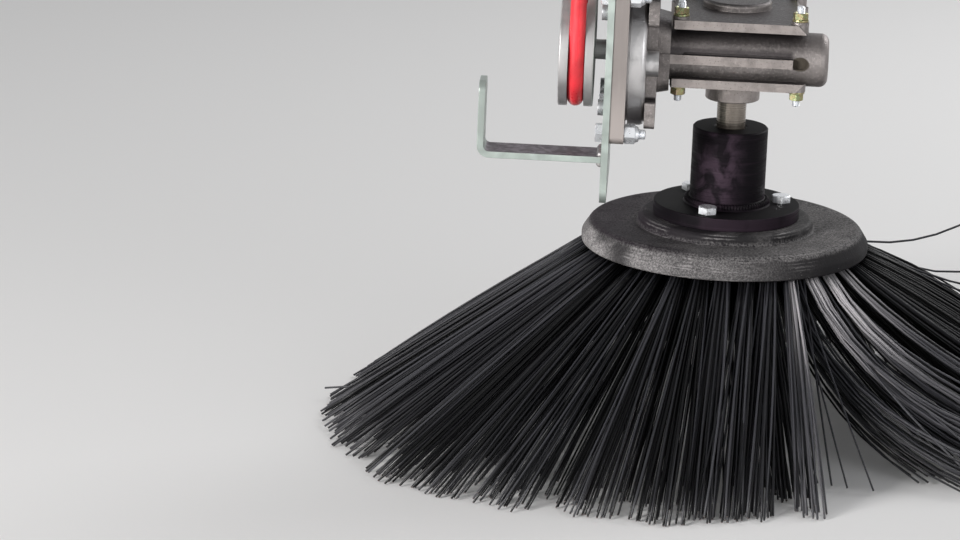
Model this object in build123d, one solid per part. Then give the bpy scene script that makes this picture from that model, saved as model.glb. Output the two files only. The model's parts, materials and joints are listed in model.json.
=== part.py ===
from build123d import *
import math
import os

# Side brush unit of a sweeping machine, in millimetres.
# +Z is up, +X runs along the drive shafts from the pulleys to the gearbox, +Y points to the back.
# The origin is the centre of the frame bolt holes, on the right face of the mounting plate.

# Clearances that tie the fits together, and the depth that joined pieces run into each other
running_clearance = 0.08
groove_clearance = 0.3
bolt_clearance = 0.5
joint_depth = 2

# Mounting plate and its frame bolt holes
plate_thickness = 5
plate_width = 120
plate_top = 140
plate_corner = 10
frame_bolt_spacing_y = 80
frame_bolt_spacing_z = 64
frame_hole_diameter = 11

# Shaft axes
worm_axis_z = -118
drive_axis_z = 92
brush_axis_x = 90.5
worm_centre_distance = 40

# Brush stack, heights above the lower rim of the disc
worm_axis_over_disc = 156
disc_radius = 109
disc_rim_height = 18
disc_shoulder_radius = 102
disc_bevel_start = 7
disc_bottom_round = 2.5
disc_bevel_round = 4
disc_shoulder_round = 7
disc_bore_radius = 30
disc_dish_depth = 2
disc_pad_radius = 66.5
disc_pad_height = 6
disc_pad_round = 4
plate_over_disc = 51

# Hub
flange_radius = 55.5
flange_thickness = 10
flange_round = 1
sleeve_radius = 28.5
sleeve_height = 59
sleeve_chamfer = 1
weld_leg = 6
hub_bolt_circle = 42
hub_bolt_count = 3
hub_bolt_start = 10

# Shafts
output_shaft_radius = 11
input_shaft_radius = 7.5
journal_radius = 10
journal_reach = 3
drive_end_radius = 8
drive_end_length = 30
drive_end_chamfer = 1
shaft_proud = 0.5
shaft_in_housing = 18
retainer_radius = 17
retainer_thickness = 4

# Hexagon fasteners: thread radius, half width across flats, head height and nut height
m8_radius, m8_flats, m8_head, m8_nut = 4, 6.5, 5.3, 8.5
m6_radius, m6_flats, m6_head, m6_nut = 3, 5, 6, 5
m6_washer_radius = 6
m6_screw_head = 4
washer_thickness = 1.6
thread_end = 5
nut_collar_radius = 5.6
nut_collar_height = 2.5

# Socket head screws
socket_head_radius = 6
socket_head_height = 4.5
socket_half = 2.9
socket_depth = 2.5

# Input flange stack, thicknesses along X
adaptor_side = 118
adaptor_thickness = 11
adaptor_corner = 6
corner_bolt_offset = 51.5
bell_radius = 55
bell_thickness = 14
bell_round = 4
bell_step = 3
bell_step_width = 1.5
lug_flange_thickness = 8
lug_flange_width = 90
lug_flange_height = 98
lug_height = 21
lug_step = 10
lug_round = 3
screw_offset = 36
side_boss_radius = 9.5
side_boss_length = 9
side_boss_y = -41
neck_height = 58
neck_back = 32
neck_corner = 14
neck_end_height = 54
neck_gap = 2

# Gearbox housing, heights from the worm axis and places along X from the middle of its covers
housing_offset = 2.5
cover_width = 98
cover_back = 48
tube_radius = 20
tube_reach = 66.5
tube_end_round = 6
machined_front = 22
rib_proud = 1.2
wheel_case_radius = 45
waist_width = 80
case_rib_reach = 5
case_rib_thickness = 5
case_rib_angles = (30, 60, 90, 120, 150)
lower_cover_bottom = -21.3
lower_cover_top = -14.8
upper_cover_bottom = 22.7
upper_cover_top = 29.7
cover_chamfer = 6
middle_rib_height = 7
middle_rib_reach = 40
slot_reach = 51
slot_height = 9.4
slot_rise = 0.9
slot_depth = 3
boss_radius = 20.5
boss_height = 20
boss_end_round = 1
boss_root_round = 4
seal_radius = 17
seal_depth = 5
seal_recess = 1
cap_radius = 26
cap_height = 6
cap_round = 3
pad_radius = 6.5
pad_height = 2
stud_inset = 5
stud_setback = 8
column_radius = 8
filler_x = -27
filler_y = 30
filler_flats = 8.5
filler_collar_radius = 11
filler_collar_height = 2
filler_head = 7

# Pulleys and belt
pulley_radius = 43
pulley_width = 26
pulley_gap = 9
pulley_web = 5
pulley_rim_wall = 4
pulley_round = 1
pulley_hub_radius = 15
pulley_hub_proud = 3
pulley_hub_round = 0.5
pulley_fillet = 2
belt_radius = 6
end_washer_radius = 11
end_washer_thickness = 2

# Drive bearing
bearing_side = 76
bearing_foot = 11
bearing_corner = 12
bearing_hub_radius = 26
bearing_hub_root = 32
bearing_hub_round = 4
bearing_length = 30
bearing_bolt_offset = 27
bearing_boss_radius = 9
bearing_boss_height = 3

# Belt guard bracket, heights from the worm axis
bracket_base = -73
bracket_top = -16
bracket_thickness = 5
bracket_width = 30
bracket_left = -97
bracket_bend = 4
bracket_corner = 8
bracket_weld = 4
bracket_weld_inset = 1

# Parting of the brush at its right front: angles from +X round the brush axis, and turns of the tips
parting_angle = -57
parted_left_to = -95
parted_right_to = 45
left_parting_rate = 0.45
right_parting_rate = 0.265

# Reach of the tips, longest at the left front and worn short at the front
# columns: angle from +X round the brush axis, share of the tip radius
tip_reach = [
    (-180, 0.975),
    (-165, 1.005),
    (-142, 1.065),
    (-132, 1.055),
    (-120, 0.99),
    (-105, 0.95),
    (-90, 0.885),
    (-75, 0.835),
    (-57, 0.9),
    (-30, 1.0),
    (60, 1.0),
    (110, 0.93),
    (165, 0.93),
    (180, 0.975),
]

# Bristle tufts: strands leave the disc in one bundle and spread to the floor
bristle_drop = 136
tuft_root_half = 4.5
tuft_knee_share = 0.5
tuft_knee_drop = 0.32
tuft_spans = 3
strand_root_fill = 1.06
strand_tip_fill = 0.7
tuft_tip_share = 0.92
outer_tufts = 36
middle_tufts = 30
inner_tufts = 24
# columns: name, tufts, strands in a tuft, root radius, tip radius, half depth at the tip, first angle, parting share
tuft_rings = [
    ("outer", outer_tufts, 5, 98, 293, 13, 0, 1.0),
    ("middle", middle_tufts, 4, 80, 256, 12, 4, 0.7),
    ("inner", inner_tufts, 3, 62, 219, 12, 9, 0.35),
]

# Heights and places worked out from the stack
disc_z = worm_axis_z - worm_axis_over_disc
disc_top_z = disc_z + disc_rim_height
pad_top_z = disc_top_z + disc_pad_height
flange_top_z = pad_top_z + flange_thickness
sleeve_top_z = flange_top_z + sleeve_height
plate_bottom_z = disc_z + plate_over_disc
shaft_top_z = worm_axis_z + shaft_in_housing
brush_axis_y = worm_centre_distance
bell_x = adaptor_thickness
lug_flange_x = bell_x + bell_thickness
neck_x = lug_flange_x + lug_flange_thickness
cover_x = brush_axis_x + housing_offset
housing_left = cover_x - cover_width / 2
housing_bottom = worm_axis_z + lower_cover_top
housing_top = worm_axis_z + upper_cover_bottom
pulley_right = -plate_thickness - pulley_gap
pulley_left = pulley_right - pulley_width
belt_x = (pulley_left + pulley_right) / 2
pulley_hub_left = belt_x - pulley_web / 2 - pulley_hub_proud
shaft_left = pulley_hub_left - shaft_proud
belt_circle = pulley_radius - belt_radius
cut_margin = 1

os.makedirs("parts", exist_ok=True)


def save(name, solid):
    solid.label = name
    export_step(solid, f"parts/{name}.step")


def upright(radius, low, high, x=brush_axis_x, y=brush_axis_y):
    """A cylinder along Z between two heights."""
    start = (Align.CENTER, Align.CENTER, Align.MIN)
    return Pos(x, y, low) * Cylinder(radius, high - low, align=start)


def along_x(radius, left, right, y=0, z=worm_axis_z):
    """A cylinder along X between two places."""
    start = (Align.CENTER, Align.CENTER, Align.MIN)
    return Pos(left, y, z) * Rot(0, 90, 0) * Cylinder(radius, right - left, align=start)


def block(low, high):
    """A box between two corners."""
    size = [high[i] - low[i] for i in range(3)]
    middle = [(high[i] + low[i]) / 2 for i in range(3)]
    return Pos(*middle) * Box(*size)


def rounded_face(corners):
    """A face from (across, up, round) corners; a round of 0 leaves the corner sharp."""
    face = make_face(Polyline(*[(across, up) for across, up, size in corners], close=True))
    for across, up, size in corners:
        if size > 0:
            corner = face.vertices().sort_by_distance((across, up, 0))[0]
            face = fillet(corner, size)
    return face


def turned_up(corners, z=0):
    """A body turned about the brush axis from (radius, height, round) corners."""
    return Pos(brush_axis_x, brush_axis_y, z) * revolve(Plane.XZ * rounded_face(corners), Axis.Z)


def turned_along_x(corners, z=worm_axis_z):
    """A body turned about a shaft along X from (radius, place, round) corners."""
    swapped = [(place, radius, size) for radius, place, size in corners]
    return Pos(0, 0, z) * revolve(Plane.XZ * rounded_face(swapped), Axis.X)


def hexagon_up(flats, low, high, x, y):
    outline = RegularPolygon(flats, 6, major_radius=False)
    return Pos(x, y, low) * extrude(outline, high - low)


def hexagon_along_x(flats, left, right, y, z):
    outline = RegularPolygon(flats, 6, major_radius=False)
    return Pos(left, y, z) * Rot(0, 90, 0) * extrude(outline, right - left)


def square_places(offset):
    return [(a * offset, b * offset) for a in (-1, 1) for b in (-1, 1)]


def fused(pieces):
    """One solid from pieces that run into each other."""
    whole = pieces[0]
    for piece in pieces[1:]:
        whole += piece
    return whole


# Mounting plate: flat plated bar that carries the gearbox and the drive bearing
def mounting_plate():
    height = plate_top - plate_bottom_z
    outline = RectangleRounded(plate_width, height, plate_corner)
    plate = Plane.YZ * extrude(outline, -plate_thickness)
    plate = Pos(0, 0, (plate_top + plate_bottom_z) / 2) * plate
    bolt_hole = m8_radius + bolt_clearance
    shaft_hole = end_washer_radius + bolt_clearance
    for side, level in square_places(1):
        y = side * frame_bolt_spacing_y / 2
        z = level * frame_bolt_spacing_z / 2
        plate -= along_x(frame_hole_diameter / 2, -plate_thickness, 0, y, z)
    for y, z in square_places(corner_bolt_offset):
        plate -= along_x(bolt_hole, -plate_thickness, 0, y, worm_axis_z + z)
    for y, z in square_places(bearing_bolt_offset):
        plate -= along_x(bolt_hole, -plate_thickness, 0, y, drive_axis_z + z)
    for z in (worm_axis_z, drive_axis_z):
        plate -= along_x(shaft_hole, -plate_thickness, 0, 0, z)
    return plate


# Belt guard bracket: flat bar bent up at its left end, welded to the plate at the other
def belt_guard_bracket():
    base = worm_axis_z + bracket_base
    top = worm_axis_z + bracket_top
    inner_x = bracket_left + bracket_thickness
    inner_z = base + bracket_thickness
    side = rounded_face([
        (-plate_thickness, base, 0),
        (bracket_left, base, bracket_bend + bracket_thickness),
        (bracket_left, top, 0),
        (inner_x, top, 0),
        (inner_x, inner_z, bracket_bend),
        (-plate_thickness, inner_z, 0),
    ])
    bar = Pos(0, -plate_width / 2, 0) * extrude(Plane.XZ * side, -bracket_width)
    free_corners = bar.edges().filter_by(Axis.X).group_by(Axis.Z)[-1]
    return fillet(free_corners, bracket_corner)


def bracket_weld_beads():
    base = worm_axis_z + bracket_base
    beads = []
    for z, side in ((base, -1), (base + bracket_thickness, 1)):
        corners = [
            (-plate_thickness, z),
            (-plate_thickness - bracket_weld, z),
            (-plate_thickness, z + side * bracket_weld),
        ]
        face = Plane.XZ * make_face(Polyline(*corners, close=True))
        bead = extrude(face, 2 * bracket_weld_inset - bracket_width)
        beads.append(Pos(0, bracket_weld_inset - plate_width / 2, 0) * bead)
    return Compound(beads)


# Adaptor plate: square aluminium plate between mounting plate and gearbox
def adaptor_plate():
    outline = RectangleRounded(adaptor_side, adaptor_side, adaptor_corner)
    plate = Pos(0, 0, worm_axis_z) * (Plane.YZ * extrude(outline, adaptor_thickness))
    for y, z in square_places(corner_bolt_offset):
        hole = m8_radius + bolt_clearance
        plate -= along_x(hole, 0, adaptor_thickness, y, worm_axis_z + z)
    return plate - along_x(input_shaft_radius + running_clearance, 0, adaptor_thickness)


# Bell: round cast flange with a soft outer edge and a step where it seats on the adaptor plate
def gearbox_bell():
    bore = input_shaft_radius + running_clearance
    return turned_along_x([
        (bore, bell_x, 0),
        (bell_radius - bell_step, bell_x, 0),
        (bell_radius - bell_step, bell_x + bell_step_width, 0),
        (bell_radius, bell_x + bell_step_width, 0),
        (bell_radius, lug_flange_x, bell_round),
        (bore, lug_flange_x, 0),
    ])


# Lug flange: upright plate whose four corners stand in as narrower lugs
def lug_flange():
    half_width = lug_flange_width / 2
    half_height = lug_flange_height / 2
    lug_width = half_width - lug_step
    lug_start = half_height - lug_height
    quarter = [
        (half_width, half_height), (half_width, lug_start), (lug_width, lug_start),
        (lug_width, -lug_start), (half_width, -lug_start), (half_width, -half_height),
    ]
    mirrored = [(-y, z) for y, z in reversed(quarter)]
    outline = make_face(Polyline(*quarter, *mirrored, close=True))
    plate = extrude(Plane.YZ * outline, lug_flange_thickness)
    plate = fillet(plate.edges().filter_by(Axis.X), lug_round)
    plate = Pos(lug_flange_x, 0, worm_axis_z) * plate
    return plate - along_x(input_shaft_radius + running_clearance, lug_flange_x, neck_x)


def side_boss():
    """Round bolt boss beside the bell, cut away where it stands against the lug flange."""
    flat = lug_step - lug_flange_width / 2
    low = worm_axis_z - side_boss_radius
    high = worm_axis_z + side_boss_radius
    boss = along_x(side_boss_radius, lug_flange_x, lug_flange_x + side_boss_length, side_boss_y)
    return boss - block((lug_flange_x, flat, low), (neck_x, 0, high))


def neck_section(height, x):
    """Rounded section of the neck, square to the worm shaft."""
    front = rib_proud - machined_front
    outline = RectangleRounded(neck_back - front, height, neck_corner)
    return Pos(x, (neck_back + front) / 2, worm_axis_z) * (Plane.YZ * outline)


def neck():
    """Neck between lug flange and housing, tapering to the height of the covers."""
    start = neck_section(neck_height, neck_x)
    end = neck_section(neck_end_height, housing_left - neck_gap)
    return loft([start, end], ruled=True)


def worm_tube():
    """Round tube of the worm with a soft end, a slot in front and the flat rib in the slot."""
    right = cover_x + tube_reach
    left = housing_left - neck_gap - joint_depth
    tube = turned_along_x([
        (0, left, 0),
        (tube_radius, left, 0),
        (tube_radius, right, tube_end_round),
        (0, right, 0),
    ])
    slot_length = slot_reach + cover_width / 2 - cover_chamfer
    slot_x = cover_x + slot_reach - slot_length / 2
    slot = Plane.XZ * extrude(SlotOverall(slot_length, slot_height), 2 * slot_depth)
    tube -= Pos(slot_x, slot_depth - tube_radius, worm_axis_z + slot_rise) * slot
    rib_low = worm_axis_z - middle_rib_height / 2
    rib_high = worm_axis_z + middle_rib_height / 2
    rib = block((neck_x, -machined_front, rib_low), (cover_x + middle_rib_reach, 0, rib_high))
    return tube + rib


def radial_rib(reach, angle):
    """Upright web from the wheel's axis outwards, as high as the wheel case."""
    start = (Align.MIN, Align.CENTER, Align.MIN)
    web = Box(reach, case_rib_thickness, housing_top - housing_bottom, align=start)
    return Pos(brush_axis_x, brush_axis_y, housing_bottom) * Rot(0, 0, angle) * web


def wheel_case():
    """Round case behind the tube, with a waist to it, cast ribs and two corner columns."""
    half = waist_width / 2
    pieces = [upright(wheel_case_radius, housing_bottom, housing_top)]
    waist = block(
        (brush_axis_x - half, 0, housing_bottom),
        (brush_axis_x + half, brush_axis_y, housing_top),
    )
    pieces.append(waist)
    for angle in case_rib_angles:
        pieces.append(radial_rib(wheel_case_radius + case_rib_reach, angle))
    for x, y in stud_places():
        if y > brush_axis_y:
            reach = math.dist((x, y), (brush_axis_x, brush_axis_y))
            turn = math.degrees(math.atan2(y - brush_axis_y, x - brush_axis_x))
            pieces.append(upright(column_radius, housing_bottom, housing_top, x, y))
            pieces.append(radial_rib(reach, turn))
    return fused(pieces)


# Gearbox housing: worm tube along X in front of a round wheel case
def gearbox_housing():
    housing = worm_tube() + wheel_case() + neck()
    shaft_end = brush_axis_x - waist_width / 2
    housing -= along_x(input_shaft_radius + running_clearance, neck_x, shaft_end)
    bore = output_shaft_radius + running_clearance
    housing -= upright(bore, housing_bottom - cut_margin, shaft_top_z + running_clearance)
    return housing


def cover_plate(bottom, top, outer_is_low):
    """Square cover whose right end slopes in towards its outer face."""
    half = cover_width / 2
    low_half = half - cover_chamfer if outer_is_low else half
    high_half = half if outer_is_low else half - cover_chamfer
    corners = [(-half, bottom), (low_half, bottom), (high_half, top), (-half, top)]
    face = Plane.XZ * make_face(Polyline(*corners, close=True))
    depth = machined_front + brush_axis_y + cover_back
    return Pos(cover_x, -machined_front, worm_axis_z) * extrude(face, -depth)


def corner_pads(low, high):
    """Round pads that carry the nuts at the covers' corners."""
    return fused([upright(pad_radius, low, high, x, y) for x, y in stud_places()])


def output_cover():
    face = worm_axis_z + lower_cover_bottom
    end = face - boss_height
    bore = output_shaft_radius + running_clearance
    cover = cover_plate(lower_cover_bottom, lower_cover_top, True)
    cover += corner_pads(worm_axis_z + lower_cover_bottom, housing_bottom)
    cover -= along_x(tube_radius, housing_left - neck_gap, cover_x + tube_reach)
    cover += turned_up([
        (0, end, 0),
        (boss_radius, end, boss_end_round),
        (boss_radius, face, boss_root_round),
        (boss_radius + boss_root_round + joint_depth, face, 0),
        (boss_radius + boss_root_round + joint_depth, face + joint_depth, 0),
        (0, face + joint_depth, 0),
    ])
    cover -= upright(seal_radius, end, end + seal_depth)
    return cover - upright(bore, end, housing_bottom)


def output_seal():
    low = worm_axis_z + lower_cover_bottom - boss_height
    high = low + seal_depth
    seal = upright(seal_radius, low + seal_recess, high)
    return seal - upright(output_shaft_radius + running_clearance, low, high)


# Top cover with a round bearing cap and a pad under each nut
def top_cover():
    face = worm_axis_z + upper_cover_top
    cover = cover_plate(upper_cover_bottom, upper_cover_top, False)
    cover += turned_up([
        (0, face - joint_depth, 0),
        (cap_radius, face - joint_depth, 0),
        (cap_radius, face + cap_height, cap_round),
        (0, face + cap_height, 0),
    ])
    return cover + corner_pads(housing_top, face + pad_height)


def filler_plug():
    """Hexagon plug with a collar on the top cover's back."""
    x = cover_x + filler_x
    y = brush_axis_y + filler_y
    seat = worm_axis_z + upper_cover_top
    collar_top = seat + filler_collar_height
    collar = upright(filler_collar_radius, seat, collar_top, x, y)
    return collar + hexagon_up(filler_flats, collar_top, collar_top + filler_head, x, y)


def stud_places():
    half = cover_width / 2 - stud_inset
    front = stud_setback - machined_front
    back = brush_axis_y + cover_back - stud_setback
    return [(cover_x + side * half, y) for side in (-1, 1) for y in (front, back)]


def housing_studs():
    """Nuts and stud ends under the lower cover and on the pads of the upper one."""
    pieces = []
    for x, y in stud_places():
        for seat, side in ((lower_cover_bottom, -1), (upper_cover_top + pad_height, 1)):
            levels = [worm_axis_z + seat]
            for height in (washer_thickness, m6_nut, thread_end):
                levels.append(levels[-1] + side * height)
            washer, nut, end = [sorted(levels[i:i + 2]) for i in range(3)]
            pieces.append(fused([
                upright(m6_washer_radius, *washer, x, y),
                hexagon_up(m6_flats, *nut, x, y),
                upright(m6_radius, *end, x, y),
            ]))
    return Compound(pieces)


def through_bolts(centre_z, offset, grip_right):
    """Bolts with their heads left of the plate and collared nuts right of what it carries."""
    pieces = []
    head_right = -plate_thickness
    nut_right = grip_right + m8_nut
    collar_right = nut_right + nut_collar_height
    for y, z in square_places(offset):
        place = centre_z + z
        pieces.append(fused([
            along_x(m8_radius, head_right, collar_right + thread_end, y, place),
            hexagon_along_x(m8_flats, head_right - m8_head, head_right, y, place),
            hexagon_along_x(m8_flats, grip_right, nut_right, y, place),
            along_x(nut_collar_radius, nut_right, collar_right, y, place),
        ]))
    return Compound(pieces)


def plate_screws():
    """Socket head screws on the plate's left face that hold the gearbox bell."""
    pieces = []
    head_left = -plate_thickness - socket_head_height
    for y, z in square_places(screw_offset):
        place = worm_axis_z + z
        head = along_x(socket_head_radius, head_left, -plate_thickness, y, place)
        pieces.append(head - hexagon_along_x(socket_half, head_left, head_left + socket_depth, y, place))
    return Compound(pieces)


# Drive bearing on the plate's right face: square cast foot with bolt bosses and a tapered hub
def drive_bearing():
    outline = RectangleRounded(bearing_side, bearing_side, bearing_corner)
    bearing = Pos(0, 0, drive_axis_z) * (Plane.YZ * extrude(outline, bearing_foot))
    bearing += turned_along_x([
        (0, 0, 0),
        (bearing_hub_root, 0, 0),
        (bearing_hub_root, bearing_foot, 0),
        (bearing_hub_radius, bearing_length, bearing_hub_round),
        (0, bearing_length, 0),
    ], drive_axis_z)
    for y, z in square_places(bearing_bolt_offset):
        place = drive_axis_z + z
        bearing += along_x(bearing_boss_radius, 0, bearing_foot + bearing_boss_height, y, place)
    for y, z in square_places(bearing_bolt_offset):
        place = drive_axis_z + z
        bearing -= along_x(m8_radius + bolt_clearance, 0, bearing_length, y, place)
        bearing -= along_x(bearing_boss_radius, bearing_foot + bearing_boss_height, bearing_length, y, place)
    return bearing - along_x(journal_radius + running_clearance, 0, bearing_length, 0, drive_axis_z)


def shaft_end_screw(z):
    """Washer and hexagon screw that hold a pulley on its shaft, inside the pulley's rim."""
    washer_left = shaft_left - end_washer_thickness
    washer = along_x(end_washer_radius, washer_left, shaft_left, 0, z)
    return washer + hexagon_along_x(m6_flats, washer_left - m6_screw_head, washer_left, 0, z)


# Drive shaft: pulley seat, journal in the bearing and a free end for the machine's drive
def drive_shaft():
    journal_right = bearing_length + journal_reach
    end = journal_right + drive_end_length
    shaft = turned_along_x([
        (0, shaft_left, 0),
        (input_shaft_radius, shaft_left, 0),
        (input_shaft_radius, pulley_right, 0),
        (journal_radius, pulley_right, 0),
        (journal_radius, journal_right, 0),
        (drive_end_radius, journal_right, 0),
        (drive_end_radius, end, 0),
        (drive_end_radius - drive_end_chamfer, end + drive_end_chamfer, 0),
        (0, end + drive_end_chamfer, 0),
    ], drive_axis_z)
    return shaft + shaft_end_screw(drive_axis_z)


def input_shaft():
    shaft_end = brush_axis_x - waist_width / 2 - running_clearance
    shaft = along_x(input_shaft_radius, shaft_left, shaft_end)
    return shaft + shaft_end_screw(worm_axis_z)


def pulley(axis_z):
    """Grooved pulley: two turned rims, a round-bottomed groove, a thin web and a hub."""
    web_left = belt_x - pulley_web / 2
    web_right = belt_x + pulley_web / 2
    groove = belt_radius + groove_clearance
    inner = belt_circle - groove - pulley_rim_wall
    body = turned_along_x([
        (input_shaft_radius, pulley_hub_left, 0),
        (pulley_hub_radius, pulley_hub_left, pulley_hub_round),
        (pulley_hub_radius, web_left, pulley_fillet),
        (inner, web_left, pulley_fillet),
        (inner, pulley_left, 0),
        (pulley_radius, pulley_left, pulley_round),
        (pulley_radius, pulley_right, pulley_round),
        (inner, pulley_right, 0),
        (inner, web_right, pulley_fillet),
        (pulley_hub_radius, web_right, pulley_fillet),
        (pulley_hub_radius, pulley_right, pulley_round),
        (input_shaft_radius, pulley_right, 0),
    ], axis_z)
    channel = Pos(belt_x, belt_circle + groove) * Rectangle(2 * groove, 2 * groove)
    section = Plane.XZ * (channel + Pos(belt_x, belt_circle) * Circle(groove))
    return body - Pos(0, 0, axis_z) * revolve(section, Axis.X)


def drive_belt():
    """Round belt: two straight runs and a half turn round each pulley."""
    section = Circle(belt_radius)
    run = Pos(belt_x, 0, worm_axis_z) * extrude(section, drive_axis_z - worm_axis_z)
    front = Pos(0, -belt_circle, 0) * run
    back = Pos(0, belt_circle, 0) * run
    turn = Pos(0, -belt_circle, 0) * section
    lower = revolve(turn, Axis.X, 180)
    upper = revolve(turn, Axis.X, -180)
    belt = front + back + Pos(belt_x, 0, worm_axis_z) * lower
    return belt + Pos(belt_x, 0, drive_axis_z) * upper


# Brush: shaft, hub, disc and tufts turn together
def output_shaft():
    return upright(output_shaft_radius, pad_top_z, shaft_top_z)


def hub_sleeve():
    return turned_up([
        (output_shaft_radius, flange_top_z, 0),
        (sleeve_radius, flange_top_z, 0),
        (sleeve_radius, sleeve_top_z, sleeve_chamfer),
        (output_shaft_radius, sleeve_top_z, 0),
    ])


def hub_weld():
    return turned_up([
        (sleeve_radius, flange_top_z, 0),
        (sleeve_radius + weld_leg, flange_top_z, 0),
        (sleeve_radius, flange_top_z + weld_leg, 0),
    ])


def hub_bolt_places():
    places = []
    for step in range(hub_bolt_count):
        turn = math.radians(hub_bolt_start + step * 360 / hub_bolt_count)
        x = brush_axis_x + hub_bolt_circle * math.cos(turn)
        y = brush_axis_y + hub_bolt_circle * math.sin(turn)
        places.append((x, y))
    return places


def hub_flange():
    flange = turned_up([
        (output_shaft_radius, pad_top_z, 0),
        (flange_radius, pad_top_z, flange_round),
        (flange_radius, flange_top_z, flange_round),
        (output_shaft_radius, flange_top_z, 0),
    ])
    for x, y in hub_bolt_places():
        flange -= upright(m8_radius, pad_top_z, flange_top_z, x, y)
    return flange


def hub_bolts():
    pieces = []
    nut_low = disc_z - m8_nut
    for x, y in hub_bolt_places():
        pieces.append(fused([
            upright(m8_radius, nut_low - thread_end, flange_top_z, x, y),
            hexagon_up(m8_flats, flange_top_z, flange_top_z + m8_head, x, y),
            hexagon_up(m8_flats, nut_low, disc_z, x, y),
        ]))
    return Compound(pieces)


def shaft_retainer():
    low = pad_top_z - retainer_thickness
    washer = upright(retainer_radius, low, pad_top_z)
    return washer + hexagon_up(m8_flats, low - m8_head, low, brush_axis_x, brush_axis_y)


# Brush disc: moulded ring with a rolled rim, a dished top and a raised pad for the hub
def brush_disc():
    top = disc_rim_height
    pad_top = top + disc_pad_height
    disc = turned_up([
        (disc_bore_radius, 0, 0),
        (disc_radius, 0, disc_bottom_round),
        (disc_radius, disc_bevel_start, disc_bevel_round),
        (disc_shoulder_radius, top, disc_shoulder_round),
        (disc_pad_radius, top - disc_dish_depth, disc_dish_depth),
        (disc_pad_radius, pad_top, disc_pad_round),
        (disc_bore_radius, pad_top, 0),
    ], disc_z)
    for x, y in hub_bolt_places():
        disc -= upright(m8_radius, disc_z, pad_top_z, x, y)
    return disc


def level_turn(angle):
    """The angle between -180 and 180 degrees."""
    return (angle + 180) % 360 - 180


def brushed_aside(angle, parting_share):
    """Turn of a tuft's tip away from the parting, in degrees."""
    turn = level_turn(angle)
    if parted_left_to < turn <= parting_angle:
        return parting_share * left_parting_rate * (parted_left_to - turn)
    if parting_angle < turn < parted_right_to:
        return parting_share * right_parting_rate * (parted_right_to - turn)
    return 0


def reach_share(angle):
    """Share of the tip radius at an angle, between the rows of the reach table."""
    turn = level_turn(angle)
    for (start, low), (end, high) in zip(tip_reach, tip_reach[1:]):
        if turn <= end:
            return low + (high - low) * (turn - start) / (end - start)


def flat_face(corners):
    return make_face(Polyline(*corners, close=True))


def skinned(sections):
    """A solid with flat faces through level rectangles: (x, y, z, half depth, half width)."""
    rings = []
    for x, y, z, depth, width in sections:
        signs = ((-1, -1), (1, -1), (1, 1), (-1, 1))
        rings.append([(x + a * depth, y + b * width, z) for a, b in signs])
    faces = [flat_face(rings[0]), flat_face(rings[-1])]
    for upper, lower in zip(rings, rings[1:]):
        for i in range(4):
            j = (i + 1) % 4
            faces.append(flat_face([upper[i], upper[j], lower[j], lower[i]]))
    return Solid(Shell(faces))


def strand(share, strands, root, tip, tip_half, tip_turn, half_turn):
    """One strand along a curve that leaves the disc shallow and steepens to the floor."""
    turn = math.radians(tip_turn + share * half_turn)
    start = Vector(root, share * tuft_root_half)
    end = Vector(tip * math.cos(turn), tip * math.sin(turn), -bristle_drop)
    knee = start + (end - start) * tuft_knee_share
    knee.Z = -bristle_drop * tuft_knee_drop
    tip_width = math.radians(half_turn) * tip / strands * strand_tip_fill
    root_width = tuft_root_half / strands * strand_root_fill
    sections = []
    for step in range(tuft_spans + 1):
        t = step / tuft_spans
        place = start * (1 - t) ** 2 + knee * (2 * t * (1 - t)) + end * t ** 2
        depth = tuft_root_half * (1 - t) + tip_half * t
        width = root_width * (1 - t) + tip_width * t
        sections.append((place.X, place.Y, place.Z, depth, width))
    return skinned(sections)


def tuft(angle, spacing, strands, root, tip, tip_half, parting_share):
    """One tuft, pointing along +X, with its tip as wide as its neighbours leave it."""
    side = brushed_aside(angle, parting_share)
    before = spacing + side - brushed_aside(angle - spacing, parting_share)
    after = spacing + brushed_aside(angle + spacing, parting_share) - side
    half_turn = min(before, after, spacing) / 2 * tuft_tip_share
    reach = tip * reach_share(angle + side)
    shares = [(2 * step + 1) / strands - 1 for step in range(strands)]
    return fused([strand(share, strands, root, reach, tip_half, side, half_turn) for share in shares])


def tuft_ring(tufts, strands, root, tip, tip_half, first_angle, parting_share):
    spacing = 360 / tufts
    centre = Pos(brush_axis_x, brush_axis_y, disc_z)
    pieces = []
    for step in range(tufts):
        angle = first_angle + step * spacing
        one = tuft(angle, spacing, strands, root, tip, tip_half, parting_share)
        pieces.append(centre * Rot(0, 0, angle) * one)
    return Compound(pieces)


save("mounting_plate", mounting_plate())
save("belt_guard_bracket", belt_guard_bracket())
save("bracket_weld_beads", bracket_weld_beads())
save("adaptor_plate", adaptor_plate())
save("gearbox_bell", gearbox_bell())
save("lug_flange", lug_flange())
save("side_boss", side_boss())
save("gearbox_housing", gearbox_housing())
save("output_cover", output_cover())
save("output_seal", output_seal())
save("top_cover", top_cover())
save("filler_plug", filler_plug())
save("housing_studs", housing_studs())
save("adaptor_bolts", through_bolts(worm_axis_z, corner_bolt_offset, adaptor_thickness))
save("bearing_bolts", through_bolts(drive_axis_z, bearing_bolt_offset, bearing_foot + bearing_boss_height))
save("plate_screws", plate_screws())
save("drive_bearing", drive_bearing())
save("drive_belt", drive_belt())
save("input_shaft", input_shaft())
save("input_pulley", pulley(worm_axis_z))
save("drive_shaft", drive_shaft())
save("drive_pulley", pulley(drive_axis_z))
save("output_shaft", output_shaft())
save("hub_sleeve", hub_sleeve())
save("hub_weld", hub_weld())
save("hub_flange", hub_flange())
save("hub_bolts", hub_bolts())
save("shaft_retainer", shaft_retainer())
save("brush_disc", brush_disc())
for name, tufts, strands, root, tip, tip_half, first_angle, parting_share in tuft_rings:
    save(f"tufts_{name}", tuft_ring(tufts, strands, root, tip, tip_half, first_angle, parting_share))
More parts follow.
